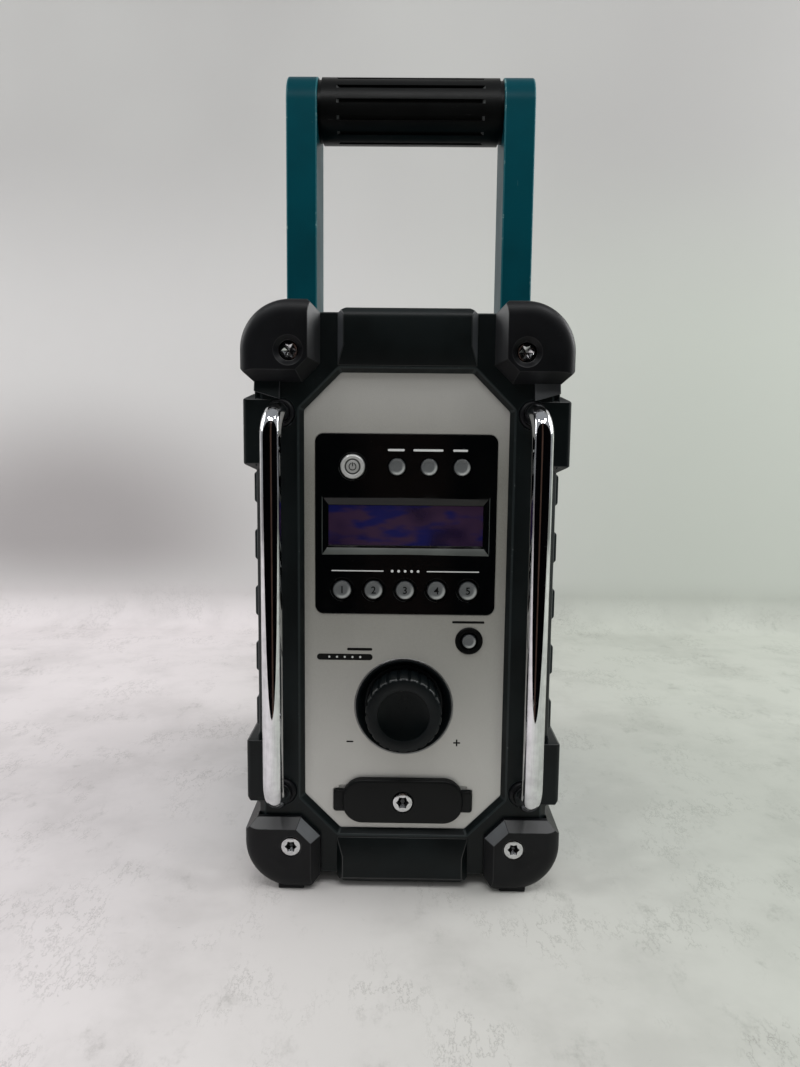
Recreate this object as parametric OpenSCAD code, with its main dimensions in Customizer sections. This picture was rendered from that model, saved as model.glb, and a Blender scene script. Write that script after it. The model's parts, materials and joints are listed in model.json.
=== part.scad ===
// Jobsite radio in an impact frame, with corner bumpers, chrome roll bars and a swing handle.
// The front faces -Y, +X is on the right seen from the front, and the feet stand on Z = 0.

/* [Body] */
// Width over the corner bumpers
body_w = 163; // [161:0.5:166]
// Height of the upper corner bumpers above the floor
body_h = 302; // [301:0.5:304]
// Depth from the roll bars to the rear bumpers
body_d = 282; // [280:1:290]
// Height of the rubber feet below the lower bumpers
foot_h = 4; // [3:0.5:5]

/* [Frames] */
// Width of the front and the rear frame
frame_w = 150.6; // [149:0.2:151]
// Lowest edge of the frames
frame_bottom = 6.6; // [6:0.1:7]
// Highest edge of the frames
frame_top = 295.4; // [294:0.1:296]
// Corner radius of the frames
frame_r = 21; // [18:0.5:23]
// Depth of each frame
frame_depth = 30; // [28:0.5:32]
// Distance from the front of the roll bars to the face of the front frame
frame_setback = 23; // [22:0.5:24]
// How far the small side ribs stand out
rib_out = 1.5; // [1:0.1:2]
// Spacing of the side ribs
rib_pitch = 29.2; // [28:0.1:30]

/* [Bumpers] */
// How far a bumper stands in front of its frame
bumper_out = 8; // [7:0.5:10]
// Distance from the middle of the radio to the inner side of a bumper
bumper_inner = 43.5; // [42:0.5:45]
// Height of an upper bumper
bumper_h_upper = 40; // [38:0.5:42]
// Height of a lower bumper
bumper_h_lower = 34; // [32:0.5:36]
// Radius of the outer corner
bumper_r = 27; // [25:0.5:28]
// Width of the flat bevels on the inner sides
bumper_bevel = 4.5; // [3:0.1:5]
// Width of the rounding on the outer sides
bumper_edge = 4.6; // [3:0.1:5]

/* [Control panel] */
// Width of the silver panel that shows
panel_w = 102; // [100:0.5:103]
// Lower edge of the panel that shows
panel_bottom = 30.2; // [30:0.1:31]
// Upper edge of the panel that shows
panel_top = 266.3; // [265:0.1:267]
// Size of its cut corners
panel_corner = 18.4; // [17:0.1:20]
// Depth of the panel below the face of the frame
panel_recess = 4; // [3.5:0.1:4.5]

/* [Display panel] */
// Width of the glossy display panel
display_w = 91.6; // [90:0.2:92]
// Lower edge of the display panel
display_bottom = 145; // [144:0.2:146]
// Upper edge of the display panel
display_top = 236.7; // [236:0.1:238]
// Width of the liquid crystal window
lcd_w = 78.6; // [76:0.2:80]
// Lower edge of the window
lcd_bottom = 180.2; // [179:0.2:181]
// Upper edge of the window
lcd_top = 200.7; // [200:0.1:202]

/* [Buttons] */
// Radius of the power button
power_r = 6.1; // [5.8:0.1:6.4]
// Radius of the three menu buttons
menu_r = 4.35; // [4.1:0.05:4.6]
// Height of the upper row of buttons
upper_row_z = 220.3; // [219:0.1:221]
// Radius of the five preset buttons
preset_r = 5.15; // [4.9:0.05:5.3]
// Spacing of the preset buttons
preset_pitch = 16.05; // [15.8:0.05:16.4]
// Height of the preset buttons
preset_z = 157.6; // [157:0.1:158]
// Radius of the tune button
tune_r = 3.7; // [3.4:0.1:3.9]

/* [Knob] */
// Height of the knob's axis
knob_z = 96; // [95:0.5:97]
// Radius of the knob
knob_r = 19.4; // [18.5:0.1:19.8]
// How far the knob stands out from the panel
knob_out = 14.5; // [13:0.5:16]
// Radius of the dished ring around the knob
dish_r = 25; // [24.5:0.1:26]

/* [Jack cover] */
// Width of the rubber cover over the sockets
cover_w = 61.8; // [60:0.2:63]
// Height of the cover
cover_h = 25; // [24:0.2:26]
// Height of its middle above the floor
cover_z = 46; // [45:0.2:47]

/* [Roll bars] */
// Diameter of the chromed bar
bar_d = 10.2; // [9.5:0.1:10.6]
// Height of the lower bar end
bar_low = 51; // [50:0.2:52]
// Height of the upper bar end
bar_high = 246.5; // [246:0.1:248]
// Distance of the bar ends from the middle
bar_end_x = 62.4; // [61.5:0.1:63]
// Angle by which each bar splays outwards
bar_splay = 6.7; // [0:0.1:8]

/* [Handle] */
// Width of each handle arm, seen from the front
arm_w = 18.5; // [17:0.5:19]
// Depth of each handle arm
arm_d = 38; // [36:0.5:38]
// Distance of the inner arm faces from the middle
arm_inner = 55.5; // [55.5:0.1:56]
// Height of the handle's pivot axis
pivot_z = 262; // [261:0.5:263]
// Height of the grip's axis
grip_z = 433; // [420:1:440]
// Diameter of the grip
grip_d = 37.6; // [34:0.2:37.8]

/* [Speakers] */
// Radius of the speaker opening in each side
speaker_r = 43; // [40:0.5:44]
// Height of the speaker axis
speaker_z = 128; // [120:1:135]

/* [Hidden] */
$fn = 48;
EPS = 0.01;
FIT = 0.06;       // radial clearance of a running fit
GAP = 0.3;        // clearance between pieces that move past each other

// Main planes along Y
bar_front_y = -body_d / 2;
frame_y = bar_front_y + frame_setback;
frame_back_y = frame_y + frame_depth;
bumper_y = frame_y - bumper_out;
bumper_tail_y = frame_back_y + 4;
rear_face_y = body_d / 2 - bumper_out;
mirror_y = frame_y + rear_face_y;          // a front piece at y stands at mirror_y - y behind
rear_back_y = mirror_y - frame_back_y;
panel_y = frame_y + panel_recess;
panel_t = 2.5;
panel_back_y = panel_y + panel_t;
side_x = body_w / 2;
frame_x = frame_w / 2;

// Control panel stack, from the front to the board
display_y = panel_y - 0.4;
display_back_y = panel_back_y + 1.3;
flange_y = display_back_y + GAP;
flange_t = 1;
stem_end_y = flange_y + flange_t + 1.7;
switch_y = stem_end_y + 1.1;
board_y = switch_y + 2.1;
board_t = 1.6;
display_r = 4.3;
display_rim = 2.5;
lcd_bevel_x = 3;
lcd_bevel_z = 4.3;
lcd_glass_y = display_y + 2.5;
lcd_glass_t = 1.2;

// Bumper screws: places, shank and clearance hole, and how deep their heads sit
screw_x = 57.5;
screw_z_upper = 276.2;
screw_z_lower = 24.4;
screw_r = 2.5;
screw_hole_r = screw_r + 0.1;
screw_sunk_upper = 3.1;
screw_sunk_lower = 0.7;

// Details of both frames
guard_z_upper = [222.4, 255.2];
guard_z_lower = [47.2, 79.4];
hollow_top = 236;
frame_wall = 5;

// Buttons of the upper row and of the preset row: x, z, radius, height above the display panel
power_x = -26.9;
menu_x = [-4.6, 11.5, 28];
button_out = 1.3;
power_out = 1.7;
press_travel = 1;
preset_x = [for (i = [-2:2]) i * preset_pitch];
tune_x = 33.2;
tune_z = 131.4;
tune_ring_r = 7.1;
tune_sleeve_r = 5.7;
board_post_x = 42.6;
board_post_z = [152, 229];

// Knob and encoder
knob_front_y = panel_y - knob_out;
knob_back_y = panel_y + 3.4;
shaft_r = 3;
shaft_front_y = knob_front_y + 6;
shaft_back_y = panel_y + 15.4;
encoder_y = panel_y + 9;
encoder_back_y = panel_y + 19;
plunger_y = shaft_back_y + 0.1;
plunger_r = 3.8;
plunger_t = 1;

// Jack cover
cover_y = panel_y - 4;
cover_back_y = panel_y - 0.1;
cover_r = 10.5;
hub_x = 9;
tab_x = 36.8;
tab_h = 13;
socket_x = 18;
socket_r = 5;
jack_r = 1.8;
tray_back_y = panel_back_y + 9;
tray_wall = 2;
opening_x = 27;
opening_z = 9;

// Roll bars
bar_r = bar_d / 2;
bend_r = 12;
bar_reach = round(100 * (frame_setback - bar_r) / cos(bar_splay)) / 100;
bar_seat = 12;
grommet_r = 7;

// Housing
housing_x = 72;
housing_wall = 3;
housing_bottom = 11;
housing_r = 12;
block_x = 52;
block_top = 288;
shoulder_z = 241;
speaker_y = mirror_y / 2;
grille_r = speaker_r + 7;
grille_out = 3;
housing_rib_z = [24, 38, 218, 232];
antenna_x = 30;
antenna_y = 80;
antenna_r = 2.5;

// Handle
arm_r = arm_d / 2;
bolt_r = 4;
bolt_head_r = 8;
grip_r = grip_d / 2;
tube_r = 6;
tube_seat = 12;

// Battery bay and door
bay_x = 46.8;
bay_bottom = 67;
bay_top = 233;
bay_front_y = rear_face_y - 60;
bay_wall = 2.5;
hinge_y = rear_face_y + 4.1;
hinge_z = 57;
hinge_r = 3.8;
hinge_pin_r = 2;
lug_inner = 30;
lug_outer = 38;
door_x = 50;
door_bottom = hinge_z + 4.6;
door_top = 239;
door_y = rear_face_y + 0.3;
door_t = 4.9;
latch_travel = 4;
latch_x = 8;
latch_z = 228;
neck_x = 4;
neck_h = 5;
latch_slot_y = door_y + 0.9;
latch_slot_t = 3.1;

// Colours
BLACK = "#26282a";
RUBBER = "#1b1c1d";
TEAL = "#0e5560";
SILVER = "#b9b6b0";
GLOSS = "#08090b";
CHROME = "#d8dadc";
STEEL = "#8f9295";
BOARD = "#1f5a38";
DISPLAY = "#292052";
CONE = "#303236";
BRASS = "#c79a4a";

// Box between two corners
module block(low, high) translate(low) cube(high - low);

// A shape drawn in X and Z, extruded from y0 to y1
module along_y(y0, y1) translate([0, y1, 0]) rotate([90, 0, 0]) linear_extrude(y1 - y0) children();

// A cylinder along Y
module rod_y(r, y0, y1, x, z) translate([x, y1, z]) rotate([90, 0, 0]) cylinder(r = r, h = y1 - y0);

// A cylinder along Z
module rod_z(r, z0, z1, x, y) translate([x, y, z0]) cylinder(r = r, h = z1 - z0);

// A cylinder along X
module rod_x(r, x0, x1, y, z) translate([x0, y, z]) rotate([0, 90, 0]) cylinder(r = r, h = x1 - x0);

// A turned shape along Y: its profile has the radius first, then the distance in front of Y = 0
module turned_y(x, z) translate([x, 0, z]) rotate([90, 0, 0]) rotate_extrude() children();

// A turned shape along +X: its profile has the radius first, then the distance to the right
module turned_x(y, z) translate([0, y, z]) rotate([0, 90, 0]) rotate_extrude() children();

module mirrored_x() {
    children();
    mirror([1, 0, 0]) children();
}

// Puts a piece made for the front at the same place behind
module behind() translate([0, mirror_y, 0]) mirror([0, 1, 0]) children();

// A rectangle with round corners, half_w wide to each side
module rounded(half_w, z0, z1, r) {
    translate([-half_w, z0 + r]) square([2 * half_w, z1 - z0 - 2 * r]);
    translate([-half_w + r, z0]) square([2 * half_w - 2 * r, z1 - z0]);
    for (x = [-half_w + r, half_w - r], z = [z0 + r, z1 - r])
        translate([x, z]) circle(r = r);
}

// A rectangle with cut corners, grown by g to every side
module cut_corners(half_w, z0, z1, c, g = 0) {
    k = c + g * (2 - sqrt(2));
    x = half_w + g;
    low = z0 - g;
    high = z1 + g;
    polygon([[-x, low + k], [-x + k, low], [x - k, low], [x, low + k],
        [x, high - k], [x - k, high], [-x + k, high], [-x, high - k]]);
}

module frame_outline(inset = 0)
    rounded(frame_x - inset, frame_bottom + inset, frame_top - inset, frame_r - inset);

module panel_outline(g = 0) cut_corners(panel_w / 2, panel_bottom, panel_top, panel_corner, g);

// ---- Impact frames ----

// Large guard block on the right side of a frame
module guard_block(z0, z1) {
    bevel = 2.5;
    intersection() {
        along_y(frame_y, frame_back_y)
            polygon([[frame_x - 1, z0 - bevel], [side_x - bevel, z0 - bevel], [side_x, z0],
                [side_x, z1], [side_x - 2 * bevel, z1 + bevel], [frame_x - 1, z1 + bevel]]);
        translate([0, 0, z0 - 5]) linear_extrude(z1 - z0 + 10)
            polygon([[frame_x - 1, frame_back_y], [side_x, frame_back_y],
                [side_x, frame_y + 1.6], [side_x - 1.6, frame_y], [frame_x - 1, frame_y]]);
    }
}

module side_rib(z) {
    half = 8.25;
    along_y(frame_y + 5, frame_back_y)
        polygon([[frame_x - 1, z - half], [frame_x, z - half], [frame_x + rib_out, z - half + 1.3],
            [frame_x + rib_out, z + half - 1.3], [frame_x, z + half], [frame_x - 1, z + half]]);
}

// Raised block in the middle of the frame's top or bottom edge
module centre_block(base_z0, base_z1, face_z0, face_z1) hull() {
    base_x = 34.5;
    face_x = 31.3;
    stands_out = 3.5;
    block([-base_x, frame_y, base_z0], [base_x, frame_y + 6, base_z1]);
    block([-face_x, frame_y - stands_out, face_z0], [face_x, frame_y, face_z1]);
}

// Ring, guards and ribs that both frames share, at the place of the front frame
module frame_body() {
    middle_z = 151;
    edge_bevel = 4.6;
    difference() {
        along_y(frame_y, frame_back_y) frame_outline();
        mirrored_x() translate([frame_x, frame_y, 0]) rotate([0, 0, 45])
            cube([edge_bevel, edge_bevel, 3 * body_h], center = true);
    }
    mirrored_x() {
        guard_block(guard_z_upper[0], guard_z_upper[1]);
        guard_block(guard_z_lower[0], guard_z_lower[1]);
        for (i = [-2:2]) side_rib(middle_z + i * rib_pitch);
    }
    centre_block(frame_top - 23.4, frame_top + 3.6, frame_top - 17.9, frame_top + 2.2);
    centre_block(frame_bottom - 1.6, frame_bottom + 20.9, frame_bottom - 0.2, frame_bottom + 16.4);
}

// Positions of the four bumper screws of one frame
module at_screws() {
    for (x = [-screw_x, screw_x], z = [screw_z_lower, screw_z_upper])
        translate([x, 0, z]) children();
}

module front_frame() color(BLACK) difference() {
    frame_body();
    // bevelled opening in front of the panel
    hull() {
        along_y(frame_y - 1, frame_y) panel_outline(2.6);
        along_y(panel_y - EPS, panel_y) panel_outline();
    }
    along_y(frame_y, frame_back_y + 1) panel_outline();
    // seat of the panel
    along_y(panel_y, panel_back_y + 0.1) panel_outline(3);
    // hollow of the ring below the handle shoulders
    along_y(frame_y + 6, frame_back_y + 1) intersection() {
        difference() {
            frame_outline(4);
            panel_outline(4);
        }
        translate([-frame_x, 0]) square([frame_w, hollow_top]);
    }
    // seats of the roll bars and their grommets
    for (side = [-1, 1], z = [bar_low, bar_high]) bar_frame(side, z) {
        translate([0, 4.2, 0]) rotate([90, 0, 0]) cylinder(r = grommet_r, h = 8);
        translate([0, bar_seat + 0.1, 0]) rotate([90, 0, 0]) cylinder(r = bar_r + 0.05, h = 20);
    }
    at_screws() rod_y(screw_hole_r, frame_y - 5, frame_y + 20, 0, 0);
}

module rear_frame() color(BLACK) {
    catch_x = 14;
    difference() {
        union() {
            behind() frame_body();
            // catch above the battery door
            block([-catch_x, rear_face_y - 1, door_top + 0.5], [catch_x, door_y + 6.2, door_top + 7]);
            // hinge lugs under the battery door
            mirrored_x() {
                rod_x(hinge_r, lug_inner, lug_outer, hinge_y, hinge_z);
                block([lug_inner, rear_face_y - 1, hinge_z - hinge_r],
                    [lug_outer, hinge_y, hinge_z + hinge_r]);
            }
        }
        // hollow inside
        block([-frame_x + frame_wall, rear_back_y - 1, frame_bottom + 7.4],
            [frame_x - frame_wall, rear_face_y - frame_wall, hollow_top]);
        block([-block_x + 4, rear_back_y - 1, hollow_top - EPS],
            [block_x - 4, rear_face_y - frame_wall, block_top - 6]);
        // way through for the battery bay
        block([-bay_x - 0.1, rear_back_y, bay_bottom - 0.1],
            [bay_x + 0.1, rear_face_y + 1, bay_top + 0.1]);
        // pocket that the latch locks into
        block([-latch_x - 0.4, latch_slot_y, door_top],
            [latch_x + 0.4, latch_slot_y + latch_slot_t, door_top + latch_travel + 0.2]);
        rod_x(hinge_pin_r + FIT, -lug_outer - 1, lug_outer + 1, hinge_y, hinge_z);
        behind() at_screws() rod_y(screw_hole_r, frame_y - 5, frame_y + 20, 0, 0);
    }
}

// ---- Corner bumpers ----

// Outline of a right-hand bumper. t is measured from its outermost edge towards the middle of
// the radio; edge and bevel say how far the outer and the inner sides are drawn in.
function bumper_points(h, edge, bevel) =
    let (q = sqrt(2), x = bumper_inner, s = side_x, cut = 6, chamfer = 10, low_cut = 7, n = 8)
    concat(
        [[x + bevel, cut + (q - 1) * bevel], [x + bevel, h - chamfer - (q - 1) * bevel],
         [x + chamfer + (q - 1) * bevel, h - bevel], [s - low_cut - (q - 1) * bevel, h - bevel],
         [s - edge, h - low_cut + edge - q * bevel]],
        [for (i = [0:n]) let (a = 90 * i / n)
            [s - bumper_r + (bumper_r - edge) * cos(a), bumper_r - (bumper_r - edge) * sin(a)]],
        [[x + cut - edge + q * bevel, edge]]);

// Solid form of a front right bumper in its own corner: t runs along +Z
module bumper_form(h) hull() {
    for (layer = [[0, bumper_edge, bumper_bevel], [1.6, 1.7, 3.2], [bumper_edge, 0.2, 1.4],
            [bumper_out, 0, 0]])
        along_y(bumper_y + layer[0], bumper_y + layer[0] + EPS)
            polygon(bumper_points(h, layer[1], layer[2]));
    along_y(bumper_tail_y - 1.2, bumper_tail_y) polygon(bumper_points(h, 1, 1));
    along_y(bumper_y + bumper_out, bumper_tail_y - 1.2) polygon(bumper_points(h, 0, 0));
}

// Turns the t axis of a bumper down from the top edge, or up from the bottom edge
module upper_corner() translate([0, 0, body_h]) mirror([0, 0, 1]) children();
module lower_corner() translate([0, 0, foot_h]) children();

module bumper(upper) difference() {
    screw_z = upper ? screw_z_upper : screw_z_lower;
    depth = (upper ? screw_sunk_upper : screw_sunk_lower) + 0.9;
    head_room_r = 5.2;
    mouth_r = 8.2;
    if (upper) upper_corner() bumper_form(bumper_h_upper);
    else lower_corner() bumper_form(bumper_h_lower);
    along_y(frame_y, bumper_tail_y + 1) frame_outline();
    // screw hole with a countersunk mouth
    rod_y(screw_hole_r, bumper_y - 1, frame_y + 1, screw_x, screw_z);
    rod_y(head_room_r, bumper_y - 1, bumper_y + depth + 1.6, screw_x, screw_z);
    translate([screw_x, bumper_y + depth, screw_z]) rotate([90, 0, 0])
        cylinder(r1 = head_room_r, r2 = mouth_r, h = 5.6);
}

module front_bumper_upper_right() color(RUBBER) bumper(true);
module front_bumper_upper_left() color(RUBBER) mirror([1, 0, 0]) bumper(true);
module front_bumper_lower_right() color(RUBBER) bumper(false);
module front_bumper_lower_left() color(RUBBER) mirror([1, 0, 0]) bumper(false);
module rear_bumper_upper_right() color(RUBBER) behind() bumper(true);
module rear_bumper_upper_left() color(RUBBER) behind() mirror([1, 0, 0]) bumper(true);
module rear_bumper_lower_right() color(RUBBER) behind() bumper(false);
module rear_bumper_lower_left() color(RUBBER) behind() mirror([1, 0, 0]) bumper(false);

// Button-head screw along Y, head in front, head face at y
module socket_screw(y, head_r, length) difference() {
    head_t = 2.4;
    socket_depth = 1.6;
    turned_y(0, 0) polygon([[0, -y], [head_r - 1.2, -y], [head_r, -y - 1.1], [head_r, -y - head_t],
        [screw_r, -y - head_t], [screw_r, -y - length], [0, -y - length]]);
    translate([0, y + socket_depth, 0]) rotate([90, 0, 0])
        cylinder(r = head_r * 0.52, h = 2 * socket_depth, $fn = 6);
}

// The four bumper screws of the front frame
module frame_screws() mirrored_x() {
    translate([screw_x, 0, screw_z_upper]) socket_screw(bumper_y + screw_sunk_upper, 4.8, 18);
    translate([screw_x, 0, screw_z_lower]) socket_screw(bumper_y + screw_sunk_lower, 5, 18);
}

module bumper_screws() color(CHROME) {
    frame_screws();
    behind() frame_screws();
}

// Front right foot, nested under the round lower edge of its bumper
module foot() difference() {
    inner_x = 48;
    outer_x = 64;
    length = 20;
    block([inner_x, frame_y + 1, 0], [outer_x, frame_y + 1 + length, foot_h + 3]);
    along_y(frame_y - 5, frame_back_y) translate([0, foot_h])
        polygon(bumper_points(bumper_h_lower, 0, 0));
}

module rubber_feet() color(RUBBER) mirrored_x() {
    foot();
    behind() foot();
}

// ---- Roll bars ----

// Local frame at a bar end: -Y runs along the splayed leg, away from the radio
module bar_frame(side, z)
    translate([side * bar_end_x, frame_y, z]) rotate([0, 0, side * bar_splay]) children();

// Quarter bend of a roll bar
module bar_bend() rotate([0, 90, 0]) rotate_extrude(angle = 90) translate([bend_r, 0]) circle(r = bar_r);

module roll_bar(side) color(CHROME) {
    span = bar_high - bar_low;
    leg = bar_reach - bend_r;
    bar_frame(side, bar_low) {
        for (z = [0, span])
            translate([0, bar_seat, z]) rotate([90, 0, 0]) cylinder(r = bar_r, h = bar_seat + leg);
        translate([0, -bar_reach, bend_r]) cylinder(r = bar_r, h = span - 2 * bend_r);
        translate([0, -leg, bend_r]) mirror([0, 1, 0]) bar_bend();
        translate([0, -leg, span - bend_r]) mirror([0, 0, 1]) mirror([0, 1, 0]) bar_bend();
    }
}

module left_roll_bar() roll_bar(-1);
module right_roll_bar() roll_bar(1);

module roll_bar_grommets() color(RUBBER) {
    for (side = [-1, 1], z = [bar_low, bar_high]) bar_frame(side, z)
        rotate([90, 0, 0]) rotate_extrude()
            polygon([[bar_r + 0.05, -4.1], [grommet_r - 0.05, -4.1], [grommet_r - 0.05, 1],
                [grommet_r - 0.8, 1.8], [bar_r + 0.05, 1.8]]);
}

// ---- Control panel ----

module control_panel() color(SILVER) difference() {
    along_y(panel_y, panel_back_y) panel_outline(2.9);
    along_y(panel_y - 1, panel_back_y + 1)
        rounded(display_w / 2 + 0.05, display_bottom - 0.05, display_top + 0.05, display_r);
    rod_y(tune_sleeve_r + 0.05, panel_y - 1, panel_back_y + 1, tune_x, tune_z);
    rod_y(dish_r - 0.85, panel_y - 1, panel_back_y + 1, 0, knob_z);
    // opening to the sockets and the shallow seats of the cover tabs
    opening_block(0, panel_y - 1, panel_back_y + 1);
    mirrored_x() block([tab_x - 10, panel_y - 1, cover_z - tab_h / 2 - 0.4],
        [tab_x + 0.4, panel_y + 0.9, cover_z + tab_h / 2 + 0.4]);
}

// Box at the window of the display, larger than the window by a margin
module window_block(margin, y0, y1)
    block([-lcd_w / 2 - margin, y0, lcd_bottom - margin], [lcd_w / 2 + margin, y1, lcd_top + margin]);

module display_panel() color(GLOSS) {
    lcd_x = lcd_w / 2;
    difference() {
        union() {
            along_y(display_y, panel_back_y + EPS)
                rounded(display_w / 2, display_bottom, display_top, display_r);
            along_y(panel_back_y, display_back_y)
                rounded(display_w / 2 + display_rim, display_bottom - display_rim,
                    display_top + display_rim, display_r);
        }
        // window with its bevelled surround and the seat of the glass
        hull() {
            along_y(display_y - 1, display_y) translate([-lcd_x - lcd_bevel_x, lcd_bottom - lcd_bevel_z])
                square([lcd_w + 2 * lcd_bevel_x, lcd_top - lcd_bottom + 2 * lcd_bevel_z]);
            along_y(lcd_glass_y - 0.1 - EPS, lcd_glass_y - 0.1) translate([-lcd_x, lcd_bottom])
                square([lcd_w, lcd_top - lcd_bottom]);
        }
        window_block(0, display_y, display_back_y + 1);
        window_block(2, lcd_glass_y, display_back_y + 1);
        // button holes, each in a shallow round groove
        rod_y(power_r + GAP, display_y - 1, display_back_y + 1, power_x, upper_row_z);
        rod_y(power_r + 1, display_y - 1, display_y + 0.5, power_x, upper_row_z);
        for (x = menu_x) rod_y(menu_r + GAP, display_y - 1, display_back_y + 1, x, upper_row_z);
        for (x = preset_x) {
            rod_y(preset_r + GAP, display_y - 1, display_back_y + 1, x, preset_z);
            rod_y(preset_r + 0.95, display_y - 1, display_y + 0.5, x, preset_z);
        }
    }
    // posts that carry the button board
    for (x = [-board_post_x, board_post_x], z = board_post_z)
        rod_y(2.2, display_back_y - EPS, board_y, x, z);
}

module lcd_window() color(DISPLAY) window_block(1.9, lcd_glass_y, lcd_glass_y + lcd_glass_t);

module lcd_module() color(STEEL) window_block(1.5, lcd_glass_y + lcd_glass_t, board_y);

module tact_switch(x, z) {
    block([x - 3, switch_y + 0.8, z - 3], [x + 3, board_y + EPS, z + 3]);
    rod_y(1.6, switch_y, switch_y + 1, x, z);
}

module button_board() color(BOARD) {
    board_x = 46;
    board_bottom = tune_z - 6.9;
    difference() {
        block([-board_x, board_y, board_bottom], [board_x, board_y + board_t, display_top - 3.7]);
        // cut-out above the knob
        block([-board_x + 12, board_y - 1, board_bottom - 1], [20, board_y + board_t + 1, 140]);
    }
    tact_switch(power_x, upper_row_z);
    for (x = menu_x) tact_switch(x, upper_row_z);
    for (x = preset_x) tact_switch(x, preset_z);
    tact_switch(tune_x, tune_z);
}

// Push button along Y: cap with a dished face, flange behind the panel, stem to its switch
module push_button(r, y, x, z) {
    lip = 0.5;
    turned_y(x, z) polygon([[0, -y - 0.4], [r * 0.62, -y - lip], [r * 0.7, -y], [r - lip, -y],
        [r, -y - lip], [r, -flange_y], [r + 1, -flange_y], [r + 1, -flange_y - flange_t],
        [2, -flange_y - flange_t], [2, -stem_end_y], [0, -stem_end_y]]);
}

module power_button() color(CHROME) push_button(power_r, display_y - power_out, power_x, upper_row_z);
module row_button(i) color(STEEL) push_button(menu_r, display_y - button_out, menu_x[i], upper_row_z);
module band_button() row_button(0);
module menu_button() row_button(1);
module info_button() row_button(2);
module preset_button(i) color(STEEL)
    push_button(preset_r, display_y - button_out, preset_x[i - 1], preset_z);
module preset_button_1() preset_button(1);
module preset_button_2() preset_button(2);
module preset_button_3() preset_button(3);
module preset_button_4() preset_button(4);
module preset_button_5() preset_button(5);
module tune_button() color(STEEL) push_button(tune_r, panel_y - 1.9, tune_x, tune_z);

module tune_button_ring() color(GLOSS) turned_y(tune_x, tune_z)
    polygon([[tune_r + GAP, -panel_y + 0.4], [tune_r + 1.2, -panel_y + 1.1],
        [tune_ring_r - 0.6, -panel_y + 1.1], [tune_ring_r, -panel_y + 0.5], [tune_ring_r, -panel_y],
        [tune_sleeve_r, -panel_y], [tune_sleeve_r, -display_back_y],
        [tune_r + GAP, -display_back_y]]);

// ---- Knob ----

module knob_dish() color(BLACK) turned_y(0, knob_z)
    polygon([[7, -panel_y - 7], [dish_r - 0.9, -panel_y - 7], [dish_r - 0.9, -panel_y],
        [dish_r, -panel_y], [dish_r, -panel_y + 0.5], [dish_r - 0.7, -panel_y + 0.9],
        [knob_r + 1.6, -panel_y - 4.2], [knob_r + 1, -panel_y - 5.2], [7, -panel_y - 5.2]]);

module volume_knob() color(BLACK) difference() {
    flutes = 22;
    groove_r = 0.8;
    front = -knob_front_y;
    rim = 2.4;
    hub_r = 6.5;
    turned_y(0, knob_z) polygon([[0, front - 2.4], [knob_r * 0.5, front - 2],
        [knob_r * 0.64, front - 0.9], [knob_r * 0.7, front], [knob_r - 1.2, front],
        [knob_r, front - 1.2], [knob_r, -knob_back_y], [knob_r - rim, -knob_back_y],
        [knob_r - rim, front - 7], [hub_r, front - 7], [hub_r, -knob_back_y], [0, -knob_back_y]]);
    rod_y(shaft_r + 0.02, shaft_front_y, knob_back_y + 1, 0, knob_z);
    for (i = [0:flutes - 1])
        translate([0, 0, knob_z]) rotate([0, i * 360 / flutes, 0])
            rod_y(groove_r, knob_front_y - 1, knob_back_y + 1, 0, knob_r + 0.1);
}

module encoder_shaft() color(STEEL)
    rod_y(shaft_r, shaft_front_y + 0.1, shaft_back_y, 0, knob_z);

module encoder_plunger() color(STEEL)
    rod_y(plunger_r, plunger_y, plunger_y + plunger_t, 0, knob_z);

module encoder_body() color(STEEL) difference() {
    union() {
        block([-7.5, encoder_y, knob_z - 7.5], [7.5, encoder_back_y, knob_z + 7.5]);
        rod_y(4.6, panel_y + 4.8, encoder_y + EPS, 0, knob_z);
        // nut that holds the dish
        translate([0, encoder_y, knob_z]) rotate([90, 0, 0]) cylinder(r = 10, h = 2, $fn = 6);
    }
    rod_y(shaft_r + FIT, panel_y + 4, shaft_back_y - 1, 0, knob_z);
    rod_y(plunger_r + GAP, shaft_back_y - 1.2, plunger_y + plunger_t + press_travel + 0.2, 0, knob_z);
}

// ---- Jack sockets and their cover ----

module cover_outline() rounded(cover_w / 2, cover_z - cover_h / 2, cover_z + cover_h / 2, cover_r);

// Box behind the cover, from y0 to y1, larger than the opening in the panel by a margin
module opening_block(margin, y0, y1)
    block([-opening_x - margin, y0, cover_z - opening_z - margin],
        [opening_x + margin, y1, cover_z + opening_z + margin]);

module jack_cover_hub() color(RUBBER) difference() {
    union() {
        along_y(cover_y, cover_back_y) intersection() {
            cover_outline();
            translate([-hub_x, 0]) square([2 * hub_x, 100]);
        }
        rod_y(6.5, cover_back_y - EPS, tray_back_y - tray_wall, 0, cover_z);
    }
    rod_y(5.8, cover_y - 2, cover_y + 1.8, 0, cover_z);
    rod_y(screw_hole_r, cover_y - 2, tray_back_y + 1, 0, cover_z);
}

module jack_cover_screw() color(CHROME)
    translate([0, 0, cover_z]) socket_screw(cover_y - 1.4, 5.1, 19);

module jack_flap() color(RUBBER) {
    along_y(cover_y, cover_back_y) difference() {
        cover_outline();
        translate([-cover_w, 0]) square([cover_w + hub_x + GAP, 2 * cover_z]);
    }
    block([cover_w / 2 - 1, panel_y - 2.2, cover_z - tab_h / 2],
        [tab_x, panel_y + 0.7, cover_z + tab_h / 2]);
}

module jack_flap_right() jack_flap();
module jack_flap_left() mirror([1, 0, 0]) jack_flap();

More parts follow.
